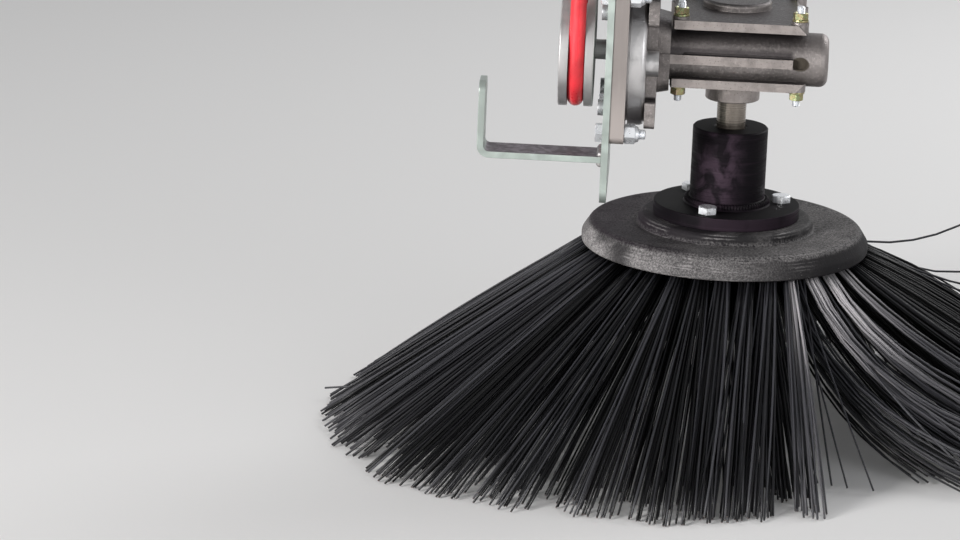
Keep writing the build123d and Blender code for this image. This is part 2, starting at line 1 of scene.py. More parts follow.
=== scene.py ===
import json
import math
import random
import bpy
from bpy.props import FloatProperty, FloatVectorProperty, IntProperty, PointerProperty
from mathutils import Matrix, Vector

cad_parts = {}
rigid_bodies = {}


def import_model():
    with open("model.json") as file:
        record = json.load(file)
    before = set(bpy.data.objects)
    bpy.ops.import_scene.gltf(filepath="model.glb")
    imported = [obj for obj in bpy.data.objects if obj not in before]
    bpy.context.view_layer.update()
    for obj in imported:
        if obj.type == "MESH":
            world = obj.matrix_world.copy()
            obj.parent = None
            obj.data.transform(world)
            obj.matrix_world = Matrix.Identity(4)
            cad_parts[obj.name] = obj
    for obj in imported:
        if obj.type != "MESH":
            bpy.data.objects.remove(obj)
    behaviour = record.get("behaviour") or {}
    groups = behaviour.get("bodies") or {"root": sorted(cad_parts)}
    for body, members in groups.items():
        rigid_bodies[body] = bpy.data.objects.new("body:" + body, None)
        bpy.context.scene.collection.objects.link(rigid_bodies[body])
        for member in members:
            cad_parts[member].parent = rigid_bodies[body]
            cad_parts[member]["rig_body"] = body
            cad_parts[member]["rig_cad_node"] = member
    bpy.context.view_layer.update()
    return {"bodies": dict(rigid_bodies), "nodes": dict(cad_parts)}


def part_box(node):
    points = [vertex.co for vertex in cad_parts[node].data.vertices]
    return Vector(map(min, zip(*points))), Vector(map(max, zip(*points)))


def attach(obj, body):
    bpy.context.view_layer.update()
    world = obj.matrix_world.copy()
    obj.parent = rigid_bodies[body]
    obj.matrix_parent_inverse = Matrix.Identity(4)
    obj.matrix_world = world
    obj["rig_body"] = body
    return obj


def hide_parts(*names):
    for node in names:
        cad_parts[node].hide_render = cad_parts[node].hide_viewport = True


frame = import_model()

bl_info = {
    "name": "Side Brush Unit",
    "version": (1, 0, 0),
    "blender": (4, 5, 0),
    "location": "3D View > Sidebar > Side Brush",
    "description": "Dresses a sweeper's side brush, worm gearbox and belt drive over their CAD frame",
    "category": "Object",
}

MM = 0.001
DISC_LOW, DISC_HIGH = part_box("brush_disc")
BRUSH_AXIS = Vector(((DISC_LOW.x + DISC_HIGH.x) / 2, (DISC_LOW.y + DISC_HIGH.y) / 2, 0))
FLOOR_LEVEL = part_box("tufts_outer")[0].z


def middle_level(node):
    low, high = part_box(node)
    return (low.z + high.z) / 2


WORM_LEVEL = middle_level("input_pulley")
DRIVE_LEVEL = middle_level("drive_pulley")


# Sizes and colours that a user would change

def colour(name, words, value):
    return FloatVectorProperty(
        name=name, description=words, default=value, subtype="COLOR", size=3, min=0, max=1)


def length(name, words, value):
    return FloatProperty(name=name, description=words, default=value, unit="LENGTH", min=0)


class SIDEBRUSH_PG_sizes(bpy.types.PropertyGroup):
    bristle_radius: length("Bristle Radius", "Half the thickness of one bristle", 0.9 * MM)
    tip_radius: length("Tip Radius", "Half the thickness at the worn end of a bristle", 0.78 * MM)
    bristles: IntProperty(
        name="Bristles", description="Bristles in one tuft of the outer ring", default=27, min=3, max=40)
    seed: IntProperty(name="Seed", description="Arrangement of the bristles", default=7, min=0)
    edge: length("Edge Round", "Round on the edges of machined and cast pieces", 0.5 * MM)
    m8_pitch: length("M8 Pitch", "Rise of one turn of an M8 thread", 1.25 * MM)
    m6_pitch: length("M6 Pitch", "Rise of one turn of an M6 thread", 1.0 * MM)


class SIDEBRUSH_PG_colours(bpy.types.PropertyGroup):
    bristle: colour("Bristle", "Black bristle", (0.009, 0.009, 0.0105))
    bristle_worn: colour("Worn Bristle", "Grey of rubbed bristle ends", (0.075, 0.075, 0.08))
    plastic: colour("Disc Plastic", "Moulded disc", (0.019, 0.018, 0.0195))
    dust: colour("Dust", "Road dust on the disc", (0.23, 0.22, 0.22))
    black_steel: colour("Black Steel", "Oxide black hub", (0.007, 0.0055, 0.0075))
    oxide: colour("Oxide Bloom", "Purple brown bloom on the hub", (0.036, 0.024, 0.034))
    cast: colour("Cast Aluminium", "Sand cast skin", (0.25, 0.228, 0.22))
    machined: colour("Machined Aluminium", "Milled faces", (0.34, 0.305, 0.29))
    turned: colour("Turned Aluminium", "Pulleys and bell", (0.54, 0.53, 0.53))
    zinc: colour("Plated Steel", "Pale zinc plate", (0.45, 0.51, 0.475))
    bright_zinc: colour("Bright Zinc", "Bolts and nuts", (0.90, 0.92, 0.95))
    yellow_zinc: colour("Yellow Zinc", "Nuts of the gearbox covers", (0.33, 0.29, 0.145))
    shaft: colour("Ground Steel", "Shafts", (0.28, 0.245, 0.21))
    iron: colour("Painted Iron", "Bearing casting", (0.10, 0.11, 0.12))
    belt: colour("Belt", "Red round belt", (0.88, 0.045, 0.06))
    seal: colour("Seal", "Black rubber seal", (0.02, 0.02, 0.02))
    floor: colour("Floor", "Pale studio floor", (0.62, 0.61, 0.61))


def sizes():
    return bpy.context.scene.side_brush_sizes


def colours():
    return bpy.context.scene.side_brush_colours


# Modelling helpers

def only(*objects):
    """Selects these objects and nothing else, the first one active."""
    if bpy.context.object and bpy.context.object.mode != "OBJECT":
        bpy.ops.object.mode_set(mode="OBJECT")
    bpy.ops.object.select_all(action="DESELECT")
    for obj in objects:
        obj.select_set(True)
    bpy.context.view_layer.objects.active = objects[0]


def start_clear():
    """Leaves nothing selected, ready for a new primitive."""
    only(next(iter(frame["bodies"].values())))
    bpy.ops.object.select_all(action="DESELECT")


def open_whole():
    """Opens the active mesh for editing, all of it selected."""
    bpy.ops.object.mode_set(mode="EDIT")
    bpy.ops.mesh.select_all(action="SELECT")


def close_merged():
    """Merges the edited mesh's doubles, points its faces outwards and closes it."""
    bpy.ops.mesh.select_all(action="SELECT")
    bpy.ops.mesh.remove_doubles(threshold=0.002 * MM)
    bpy.ops.mesh.select_all(action="SELECT")
    bpy.ops.mesh.normals_make_consistent(inside=False)
    bpy.ops.object.mode_set(mode="OBJECT")


def modified(obj, kind, **settings):
    """Gives an object a modifier with these settings and applies it."""
    only(obj)
    bpy.ops.object.modifier_add(type=kind)
    modifier = obj.modifiers[-1]
    for key, setting in settings.items():
        setattr(modifier, key, setting)
    bpy.ops.object.modifier_apply(modifier=modifier.name)


def settled(obj):
    """Puts an object's place and turn into its mesh."""
    only(obj)
    bpy.ops.object.transform_apply(location=True, rotation=True, scale=True)
    return obj


def added(name):
    """The primitive that was just added, under its own name."""
    obj = bpy.context.object
    obj.name = name
    obj.data.name = name
    return obj


def drawn(name, points, origin=(0, 0, 0)):
    """A chain of edges through (radius, height) points in millimetres, each drawn out of the last one."""
    places = [Vector(origin) + Vector((radius * MM, 0, height * MM)) for radius, height in points]
    start_clear()
    bpy.ops.mesh.primitive_plane_add(size=0.1 * MM, location=places[0])
    obj = added(name)
    open_whole()
    bpy.ops.mesh.merge(type="CENTER")
    for last, place in zip(places, places[1:]):
        bpy.ops.mesh.extrude_region_move(TRANSFORM_OT_translate={"value": place - last})
    return obj


def turned(name, points, origin=(0, 0, 0), steps=96, ring=False):
    """A body spun about Z from (radius, height) points; a ring's outline closes on itself."""
    obj = drawn(name, list(points) + ([points[0]] if ring else []), origin)
    bpy.ops.mesh.select_all(action="SELECT")
    bpy.ops.mesh.spin(steps=steps, angle=math.tau, center=origin, axis=(0, 0, 1))
    close_merged()
    return obj


def smooth(obj, angle=32):
    only(obj)
    bpy.ops.object.shade_smooth_by_angle(angle=math.radians(angle))


def soften(obj, width):
    """Rounds the sharp edges, as a finished part's are."""
    modified(obj, "BEVEL", width=width, segments=2, limit_method="ANGLE", angle_limit=math.radians(34),
             use_clamp_overlap=True)
    smooth(obj)


def combined(obj, tool, operation):
    """Cuts a body with a tool body, or keeps what both share."""
    modified(obj, "BOOLEAN", operation=operation, solver="EXACT", object=tool)
    bpy.data.objects.remove(tool)
    return obj


def from_frame(node, name, round_edge=0.0):
    """A merged copy of a CAD node with its flat faces whole and its edges rounded."""
    only(frame["nodes"][node])
    bpy.ops.object.duplicate(linked=False)
    obj = added(name)
    obj.parent = None
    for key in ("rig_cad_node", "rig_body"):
        if key in obj:
            del obj[key]
    if obj.data.has_custom_normals:
        bpy.ops.mesh.customdata_custom_splitnormals_clear()
    open_whole()
    bpy.ops.mesh.remove_doubles(threshold=0.001 * MM)
    bpy.ops.mesh.select_all(action="SELECT")
    bpy.ops.mesh.dissolve_limited(angle_limit=math.radians(0.6))
    bpy.ops.object.mode_set(mode="OBJECT")
    obj.data.materials.clear()
    if round_edge:
        soften(obj, round_edge)
        modified(obj, "WEIGHTED_NORMAL", keep_sharp=True)
    else:
        smooth(obj)
    return obj


def fitted(obj, body, look, node):
    """Places a piece for good, with its finish, on its body and in its CAD node's stead."""
    settled(obj)
    if not len(obj.data.materials):
        obj.data.materials.append(finish(look))
    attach(obj, body)
    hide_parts(node)


def dress(*rows):
    """Pieces of their node's form; columns are node, name, edge round in mm, body, slot and finish; the slot
    is not used.
    """
    for node, name, edge, body, slot, look in rows:
        fitted(from_frame(node, name, edge * MM), body, look, node)


def copied(model, name, places):
    """Copies of one model, each put at its place and joined into one piece."""
    made = []
    for place in places:
        only(model)
        bpy.ops.object.duplicate(linked=False)
        copy = bpy.context.object
        copy.matrix_world = place @ model.matrix_world
        made.append(settled(copy))
    bpy.data.objects.remove(model)
    return joined(name, *made)


def joined(name, *objects):
    only(*objects)
    if len(objects) > 1:
        bpy.ops.object.join()
    return added(name)


def at(x, y, z, turn=0.0, tilt=0.0):
    """Place in millimetres; the piece is turned about its own axis first, then tilted about Y."""
    move = Matrix.Translation(Vector((x, y, z)) * MM)
    lean = Matrix.Rotation(math.radians(tilt), 4, "Y")
    return move @ lean @ Matrix.Rotation(math.radians(turn), 4, "Z")


# Finishes

class Finish:
    """A node material that reads Object coordinates in metres."""

    def __init__(self, name, metallic=0.0, roughness=0.5):
        self.material = bpy.data.materials.new(name)
        self.material.use_nodes = True
        self.nodes = self.material.node_tree.nodes
        self.links = self.material.node_tree.links
        self.shader = self.nodes["Principled BSDF"]
        self.coords = self.nodes.new("ShaderNodeTexCoord").outputs["Object"]
        self.put("Metallic", metallic)
        self.put("Roughness", roughness)

    def put(self, socket, value):
        self.wire(value, self.shader.inputs[socket])

    def wire(self, value, socket):
        if isinstance(value, bpy.types.NodeSocket):
            self.links.new(value, socket)
        elif hasattr(value, "__len__") and socket.type == "RGBA":
            socket.default_value = (*value[:3], 1)
        else:
            socket.default_value = value

    def made(self, kind, values, **settings):
        node = self.nodes.new(kind)
        for key, setting in settings.items():
            setattr(node, key, setting)
        for key, value in values.items():
            self.wire(value, node.inputs[key])
        return node

    def centred(self, centre=(0, 0, 0), scale=(1, 1, 1)):
        """Coordinates measured from a centre, drawn out by a scale."""
        offset = [-c * s for c, s in zip(centre, scale)]
        values = {"Vector": self.coords, "Location": offset, "Scale": scale}
        return self.made("ShaderNodeMapping", values).outputs["Vector"]

    def distance(self, centre, scale):
        values = {0: self.centred(centre, scale)}
        return self.made("ShaderNodeVectorMath", values, operation="LENGTH").outputs["Value"]

    def noise(self, scale, detail=2.0, where=None, distortion=0.0, rough=0.5):
        values = {"Vector": where or self.coords, "Scale": scale, "Detail": detail,
                  "Distortion": distortion, "Roughness": rough}
        return self.made("ShaderNodeTexNoise", values).outputs["Fac"]

    def lines(self, scale, direction, distortion):
        values = {"Vector": self.coords, "Scale": scale, "Distortion": distortion, "Detail Scale": 1.5}
        node = self.made("ShaderNodeTexWave", values, wave_type="BANDS", bands_direction=direction)
        return node.outputs["Fac"]

    def rings(self, scale, direction, where, distortion=0.0):
        values = {"Vector": where, "Scale": scale, "Distortion": distortion}
        node = self.made("ShaderNodeTexWave", values, wave_type="RINGS", rings_direction=direction)
        return node.outputs["Fac"]

    def spots(self, scale):
        values = {"Vector": self.coords, "Scale": scale}
        return self.made("ShaderNodeTexVoronoi", values, feature="F1").outputs["Distance"]

    def span(self, value, low, high, to_low=0.0, to_high=1.0):
        """A value's way from low to high, as a smooth way between two numbers."""
        values = {"Value": value, "From Min": low, "From Max": high, "To Min": to_low, "To Max": to_high}
        node = self.made("ShaderNodeMapRange", values, interpolation_type="SMOOTHSTEP", clamp=True)
        return node.outputs["Result"]

    def maths(self, operation, first, second):
        return self.made("ShaderNodeMath", {0: first, 1: second}, operation=operation).outputs[0]

    def times(self, product, *factors):
        for factor in factors:
            product = self.maths("MULTIPLY", product, factor)
        return product

    def place(self, axis):
        return self.made("ShaderNodeSeparateXYZ", {0: self.coords}).outputs[axis]

    def facing_up(self, low, high, most=1.0):
        normal = self.nodes.new("ShaderNodeNewGeometry").outputs["Normal"]
        up = self.made("ShaderNodeSeparateXYZ", {0: normal}).outputs["Z"]
        return self.span(up, low, high, 0, most)

    def attribute(self, name):
        return self.made("ShaderNodeAttribute", {}, attribute_name=name).outputs["Fac"]

    def blend(self, share, first, second):
        return self.made("ShaderNodeMix", {0: share, 6: first, 7: second}, data_type="RGBA").outputs[2]

    def blend_value(self, share, first, second):
        return self.made("ShaderNodeMix", {0: share, 2: first, 3: second}, data_type="FLOAT").outputs[0]

    def toned(self, value, low, high, base, factor):
        """A colour that goes to a darker or paler shade of itself as a value rises."""
        return self.blend(self.span(value, low, high), base, tinted(base, factor))

    def rough(self, noise, low, high):
        return self.span(noise, 0.3, 0.7, low, high)

    def finished(self, tone, roughness, *layers):
        """The material with its colour, its roughness and bumps of (height, depth in metres)."""
        self.put("Base Color", tone)
        if roughness:
            self.put("Roughness", roughness)
        normal = None
        for height, depth in layers:
            values = {"Height": height, "Distance": depth, "Strength": 1.0}
            if normal:
                values["Normal"] = normal
            normal = self.made("ShaderNodeBump", values).outputs["Normal"]
        self.put("Normal", normal)
        return self.material


def tinted(base, factor):
    return [min(1.0, c * factor) for c in base]


FINISHES = {}


def finish(name):
    if name not in FINISHES:
        FINISHES[name] = MAKERS[name]()
    return FINISHES[name]


def plated_steel():
    """Pale zinc plate, darker and purple-grey where the guard bar lies level and faces up."""
    f = Finish("plated_steel", 0.55, 0.42)
    base = colours().zinc
    mottle = f.noise(45, 5, distortion=0.8)
    pale = f.blend(f.span(mottle, 0.35, 0.7), tinted(base, 0.82), tinted(base, 1.12))
    pale = f.blend(f.span(f.noise(11, 3), 0.45, 0.75), pale, tinted(base, 0.9))
    stain = f.span(f.noise(120, 5, distortion=1.0), 0.35, 0.7)
    # Darker purple-grey colour for the faces of the guard bar that look up
    blotches = f.blend(stain, (0.075, 0.055, 0.072), (0.22, 0.185, 0.215))
    left_of_plate = f.span(f.place("X"), -6 * MM, -5.5 * MM, 1, 0)
    low_bar = f.span(f.place("Z"), -150 * MM, -140 * MM, 1, 0)
    lying = f.times(f.facing_up(0.5, 0.9), left_of_plate, low_bar)
    scratches = f.noise(260, 3, f.centred(scale=(1, 1, 0.06)))
    return f.finished(f.blend(lying, pale, blotches), f.rough(mottle, 0.34, 0.52),
                      (mottle, 0.05 * MM), (scratches, 0.03 * MM))


def milled_aluminium():
    """Adaptor plate with milling marks, painted darker at its top as shade and paler towards its lower edge.
    """
    f = Finish("milled_aluminium", 0.6, 0.4)
    base = colours().machined
    marks = f.noise(420, 3, f.centred(scale=(1, 1, 0.05)))
    cloud = f.noise(26, 4)
    tone = f.toned(cloud, 0.35, 0.75, base, 0.74)
    tone = f.blend(f.span(marks, 0.45, 0.8, 0, 0.35), tone, tinted(base, 1.25))
    # Painted shade: the face is painted paler from the worm's level downwards, so its top looks shaded
    painted_light_low = f.span(f.place("Z"), WORM_LEVEL, WORM_LEVEL - 45 * MM, 0, 0.8)
    return f.finished(f.blend(painted_light_low, tone, tinted(base, 1.4)), f.rough(cloud, 0.34, 0.5),
                      (marks, 0.04 * MM), (f.lines(300, "Z", 1.5), 0.012 * MM))


def cast_aluminium():
    """Rough cast skin with painted shade on faces that look up and a painted shadow band over the rib, grease
    in the slot, speckled where it is machined.
    """
    f = Finish("cast_aluminium", 0.8, 0.4)
    base = colours().cast
    machined = colours().machined
    across, back, level = [f.place(axis) for axis in "XYZ"]
    grain = f.noise(1500, 2)
    skin = f.noise(480, 4, rough=0.7)
    cloud = f.noise(30, 4, distortion=0.6)
    cast = f.blend(f.span(cloud, 0.35, 0.7), tinted(base, 0.78), tinted(base, 1.2))
    cast = f.blend(f.span(skin, 0.5, 0.72, 0, 0.6), cast, tinted(base, 2.0))
    cast = f.blend(f.span(skin, 0.28, 0.46, 0.5, 0), cast, tinted(base, 0.35))
    light = f.blend(f.span(f.spots(430), 0.10, 0.26, 0.35, 1), tinted(base, 0.7), tinted(machined, 1.1))
    light = f.blend(f.span(f.noise(110, 5), 0.42, 0.7, 0, 0.55), light, tinted(machined, 0.62))
    right_of_neck = f.span(across, 41.5 * MM, 42.5 * MM)
    milled_front = f.span(back, -21.3 * MM, -21.0 * MM, 1, 0)
    turned_boss = f.span(level, -140.2 * MM, -139.4 * MM, 1, 0)
    worked = f.times(f.maths("MAXIMUM", milled_front, turned_boss), right_of_neck)
    tone = f.blend(worked, cast, light)
    # Painted shade: faces that look up are darkened, unevenly
    blotches = f.times(f.facing_up(0.25, 0.95, 0.85), f.span(cloud, 0.3, 0.6, 0.75, 1))
    tone = f.blend(blotches, tone, (0.032, 0.027, 0.031))
    # Painted shadow: a dark band on the tube just above the rib
    painted_shadow_over_rib = f.times(
        f.span(level, WORM_LEVEL + 11 * MM, WORM_LEVEL + 7 * MM),
        f.span(level, WORM_LEVEL + 3.4 * MM, WORM_LEVEL + 3.6 * MM),
        f.span(back, -12 * MM, -17 * MM), f.span(across, 131 * MM, 135 * MM, 1, 0), right_of_neck, 0.8)
    tone = f.blend(painted_shadow_over_rib, tone, (0.030, 0.025, 0.028))
    handled = f.span(across, 132 * MM, 152 * MM, 0, 0.35)
    tone = f.blend(handled, tone, tinted(base, 1.8))
    from_slot = f.distance((0.1385, -0.019, WORM_LEVEL), (0.75, 0.75, 1))
    in_slot = f.times(f.span(from_slot, 4.6 * MM, 5.8 * MM, 0.95, 0), f.span(back, -21 * MM, -20.6 * MM))
    f.put("Metallic", f.blend_value(in_slot, 0.8, 0.0))
    roughness = f.blend_value(in_slot, f.rough(skin, 0.34, 0.54), 0.9)
    return f.finished(f.blend(in_slot, tone, (0.045, 0.036, 0.024)), roughness,
                      (grain, 0.12 * MM), (skin, 0.32 * MM))


def turned_casting():
    """Bell and bolt boss, bright from the lathe, with fine rings, dull stains and painted shade over the top.
    """
    f = Finish("turned_casting", 0.9, 0.34)
    base = colours().turned
    rings = f.rings(300, "X", f.centred((0, 0, WORM_LEVEL)))
    grain = f.noise(700, 3)
    stain = f.span(f.noise(40, 4, distortion=0.6), 0.45, 0.75)
    tone = f.blend(stain, tinted(base, 1.2), tinted(base, 0.65))
    # Painted shade: the bell darkens upwards above the worm's level
    painted_shade_top = f.span(f.place("Z"), WORM_LEVEL + 20 * MM, WORM_LEVEL + 40 * MM, 0, 0.85)
    return f.finished(f.blend(painted_shade_top, tone, (0.07, 0.062, 0.064)), f.rough(grain, 0.28, 0.44),
                      (rings, 0.015 * MM), (grain, 0.10 * MM))


def turned_aluminium():
    """Pulleys, turned in fine rings, with dull stains."""
    f = Finish("turned_aluminium", 0.65, 0.3)
    rings = f.rings(380, "X", f.centred((0, 0, WORM_LEVEL)))
    marks = f.noise(900, 2, f.centred(scale=(1, 0.03, 0.03)))
    tone = f.toned(f.noise(35, 5), 0.45, 0.8, colours().turned, 0.6)
    return f.finished(tone, f.rough(marks, 0.32, 0.5), (rings, 0.02 * MM), (marks, 0.04 * MM))


def black_oxide():
    """Blackened steel with a purple brown bloom and turning marks; at the front left the bloom is also a
    painted highlight, and faces that look up are painted darker as shade.
    """
    f = Finish("black_oxide", 0.0, 0.5)
    c = colours()
    bloom = f.noise(1.0, 4, f.centred(scale=(26, 26, 14)))
    tone = f.blend(f.span(bloom, 0.46, 0.64, 0.0, 0.6), c.black_steel, c.oxide)
    # A bloom patch at the sleeve's front left: purple bloom and a painted highlight
    away = f.distance((BRUSH_AXIS.x - 12 * MM, BRUSH_AXIS.y - 30 * MM, -205 * MM), (1, 1, 0.5))
    smudge = f.span(f.noise(70, 5, distortion=0.8), 0.38, 0.62, 0.05, 0.9)
    bloom_and_painted_highlight = f.times(f.span(away, 8 * MM, 30 * MM, 1.0, 0.0), smudge)
    tone = f.blend(bloom_and_painted_highlight, tone, tinted(c.oxide, 1.8))
    marks = f.noise(1.0, 3, f.centred(scale=(6, 6, 900)))
    tone = f.blend(f.span(marks, 0.52, 0.75, 0, 0.3), tone, tinted(c.oxide, 1.3))
    tone = f.blend(f.span(f.noise(90, 5), 0.62, 0.8, 0, 0.3), tone, (0.07, 0.06, 0.066))
    # Painted shade: faces that look up are painted darker
    tone = f.blend(f.facing_up(0.6, 0.95), tone, tinted(c.black_steel, 0.5))
    f.put("Specular IOR Level", 0.06)
    return f.finished(tone, f.rough(marks, 0.42, 0.64), (marks, 0.09 * MM), (f.noise(700, 3), 0.05 * MM))


def ground_steel():
    """Shafts: the drive shafts pale, the brush shaft darker and brown."""
    f = Finish("ground_steel", 0.6, 0.3)
    across = f.place("X")
    f.put("Metallic", f.span(across, 60 * MM, 70 * MM, 0.15, 0.6))
    base = f.blend(f.span(across, 60 * MM, 70 * MM), colours().turned, colours().shaft)
    marks = f.noise(1.0, 3, f.centred(scale=(4, 4, 1400)))
    tone = f.blend(f.span(f.noise(40, 4), 0.4, 0.75, 0, 0.5), base, (0.13, 0.11, 0.09))
    return f.finished(tone, f.rough(marks, 0.14, 0.32), (marks, 0.02 * MM))


def zinc_plating(name, shade):
    """Plating of bolts and nuts, a little stained; under one, the shade is duller."""
    f = Finish(name, 0.7, 0.3)
    stain = f.noise(220, 4)
    tone = f.toned(stain, 0.5, 0.8, tinted(colours().bright_zinc, shade), 0.7)
    return f.finished(tone, f.span(stain, 0.3, 0.8, 0.24, 0.46), (f.noise(1300, 2), 0.03 * MM))


def bright_zinc():
    return zinc_plating("bright_zinc", 1.0)


def dull_zinc():
    return zinc_plating("dull_zinc", 0.45)


def yellow_zinc():
    """Yellow plating with a faint rainbow in it."""
    f = Finish("yellow_zinc", 0.8, 0.32)
    rainbow = f.noise(190, 2, distortion=2.0)
    tone = f.blend(f.span(rainbow, 0.35, 0.55), (0.32, 0.38, 0.20), colours().yellow_zinc)
    tone = f.blend(f.span(rainbow, 0.55, 0.75), tone, (0.46, 0.33, 0.24))
    return f.finished(tone, f.rough(f.noise(600, 3), 0.24, 0.42), (f.noise(1300, 2), 0.03 * MM))


def painted_iron():
    """Bearing casting under grey paint."""
    f = Finish("painted_iron", 0.0, 0.42)
    skin = f.noise(300, 4)
    tone = f.toned(f.noise(50, 5), 0.4, 0.75, colours().iron, 1.7)
    return f.finished(tone, f.rough(skin, 0.34, 0.55), (skin, 0.25 * MM), (f.noise(1300, 2), 0.04 * MM))


def red_belt():
    """Cast red belt, a little cloudy and rubbed along its sides."""
    f = Finish("red_belt", 0.0, 0.34)
    rub = f.noise(500, 3, f.centred(scale=(1, 1, 0.05)))
    tone = f.toned(f.noise(55, 4), 0.35, 0.75, colours().belt, 0.72)
    tone = f.blend(f.span(rub, 0.6, 0.85, 0, 0.3), tone, (0.85, 0.22, 0.2))
    return f.finished(tone, f.rough(rub, 0.26, 0.44), (rub, 0.03 * MM))


def seal_rubber():
    f = Finish("seal_rubber", 0.0, 0.55)
    tone = f.toned(f.noise(300, 3), 0.4, 0.8, colours().seal, 3.0)
    return f.finished(tone, None, (f.noise(900, 3), 0.05 * MM))


def dusty_plastic():
    """Moulded disc: dusty grain, scuffed rings, a rubbed edge over the bevel and pale specks low on it; the
    dust is also painted light, a sheen on the top's right and paler on the bevel's left, with painted shade
    on the top's left and the bevel's right.
    """
    f = Finish("dusty_plastic", 0.0, 0.55)
    c = colours()
    low = DISC_LOW.z
    middle = BRUSH_AXIS.x
    across, level = f.place("X"), f.place("Z")
    grain = f.noise(650, 4, rough=0.65)
    cloud = f.noise(16, 5, distortion=0.7)
    bevel = f.span(level, low + 17.5 * MM, low + 13.5 * MM)
    top = f.span(bevel, 0, 1, 1, 0)
    # Dust on the bevel, fading to the right: dust, and painted light on the bevel's left with painted shade
    # on its right
    dust_and_light_on_bevel = f.times(bevel, f.span(across, middle - 10 * MM, middle + 85 * MM, 1.0, 0.03))
    # Dust on the top, growing to the right: dust, and a painted sheen on the top's right
    dust_and_sheen_on_top = f.times(top, f.span(across, middle - 50 * MM, middle + 70 * MM, 0.15, 1.5))
    dust = f.times(
        f.span(cloud, 0.38, 0.66, 0.12, 1.0), f.span(bevel, 0, 1, 0.6, 1.0),
        f.span(grain, 0.34, 0.66, 0.35, 1.0), f.span(f.noise(1400, 3), 0.36, 0.62, 0.5, 1.0),
        f.maths("ADD", dust_and_sheen_on_top, dust_and_light_on_bevel))
    # Painted light: paler dust over the bevel's left
    painted_light_left_bevel = f.times(bevel, f.span(across, middle - 20 * MM, middle - 90 * MM))
    tone = f.blend(dust, c.plastic, f.blend(painted_light_left_bevel, c.dust, tinted(c.dust, 1.9)))
    spun = f.centred((middle, BRUSH_AXIS.y, 0))
    wide_rings = f.span(f.rings(95, "Z", spun, 2.0), 0.8, 1.0)
    fine_rings = f.span(f.rings(230, "Z", spun, 1.0), 0.7, 1.0)
    # Painted shade: the bevel's right keeps few scuffs, so it stays dark
    painted_shade_right_bevel = f.times(bevel, f.span(across, middle, middle + 90 * MM, 0, 0.9))
    scuffed = f.times(
        f.maths("MAXIMUM", wide_rings, fine_rings), f.span(f.noise(19, 4, distortion=1.2), 0.48, 0.62),
        f.span(grain, 0.35, 0.6, 0.2, 0.75), f.maths("SUBTRACT", 1.0, painted_shade_right_bevel))
    tone = f.blend(scuffed, tone, tinted(c.dust, 1.35))
    rubbed = f.times(
        f.span(level, low + 13 * MM, low + 16 * MM), f.span(level, low + 20 * MM, low + 17 * MM),
        f.span(grain, 0.4, 0.6, 0, 0.35))
    tone = f.blend(rubbed, tone, tinted(c.dust, 1.3))
    specks = f.times(
        f.span(f.spots(330), 0.05, 0.12, 0.8, 0), f.span(level, low + 12 * MM, low + 4 * MM),
        f.span(f.noise(60, 3), 0.45, 0.6))
    tone = f.blend(specks, tone, (0.40, 0.39, 0.38))
    shaded = f.times(f.span(across, middle + 20 * MM, middle - 100 * MM, 0, 0.75), top)
    f.put("Specular IOR Level", 0.07)
    return f.finished(f.blend(shaded, tone, (0.020, 0.014, 0.020)), f.rough(cloud, 0.5, 0.7),
                      (grain, 0.16 * MM), (f.noise(160, 4), 0.3 * MM))


def bristle_black():
    """Black bristles, each of its own shade, worn grey to the tip; the palest ones carry painted glints near
    the root.
    """
    f = Finish("bristle_black", 0.0, 0.4)
    c = colours()
    shade = f.attribute("shade")
    along = f.attribute("along")
    tone = f.blend(f.span(shade, 0.05, 0.8), tinted(c.bristle, 0.25), tinted(c.bristle, 5.0))
    wear = f.times(f.span(along, 0.6, 1.0, 0.0, 0.5), f.span(shade, 0.1, 0.7))
    tone = f.blend(wear, tone, c.bristle_worn)
    # Painted highlight: the palest bristles are painted pale grey near the root, as glints
    glint = f.times(f.span(shade, 0.95, 1.9), f.span(along, 0.12, 0.5, 1, 0.08))
    tone = f.blend(glint, tone, (0.40, 0.385, 0.40))
    blotches = f.noise(300, 3, f.centred(scale=(1, 1, 0.3)))
    tone = f.blend(f.span(blotches, 0.6, 0.85, 0, 0.25), tone, tinted(c.bristle_worn, 0.6))
    f.put("Specular IOR Level", 0.28)
    return f.finished(tone, f.span(shade, 0.0, 1.0, 0.32, 0.5), (blotches, 0.06 * MM))


def bristle_end():
    f = Finish("bristle_end", 0.0, 0.6)
    worn = tinted(colours().bristle_worn, 0.8)
    tone = f.blend(f.span(f.noise(700, 2), 0.35, 0.7), worn, (0.24, 0.19, 0.175))
    return f.finished(tone, None, (f.noise(2500, 2), 0.05 * MM))


def weld_metal():
    f = Finish("weld_metal", 0.6, 0.4)
    heat = f.noise(130, 3, distortion=1.0)
    tone = f.blend(f.span(heat, 0.35, 0.7), (0.16, 0.15, 0.16), (0.40, 0.39, 0.38))
    return f.finished(tone, f.rough(heat, 0.3, 0.5), (f.noise(900, 3), 0.08 * MM))


MAKERS = {maker.__name__: maker for maker in (
    plated_steel, milled_aluminium, cast_aluminium, turned_casting, turned_aluminium, black_oxide,
    ground_steel, bright_zinc, dull_zinc, yellow_zinc, painted_iron, red_belt, seal_rubber, dusty_plastic,
    bristle_black, bristle_end, weld_metal,
)}


# Hexagon fasteners, modelled once along Z from their seat at zero

# Sizes in millimetres; flats is half the width across the flats
M8 = {"radius": 4.0, "flats": 6.5, "head": 5.3, "nut": 8.5, "collar": 2.5}
M6 = {"radius": 3.0, "flats": 5.0, "nut": 5.0, "washer": 1.6, "washer_radius": 6.0}
SOCKET = {"radius": 6, "mouth": 3.9, "recess": 3.6, "sunk": 0.3, "key": 2.9, "key_height": 5}
PLUG = {"bore": 4, "radius": 11, "collar": 2.0, "flats": 8.5, "head": 7.0}
RETAINER = {"bore": 3, "radius": 17, "plate": 4}
THREAD_END = 5.0
THREAD_CHAMFER = 1.4
BORE_SINK = 0.8

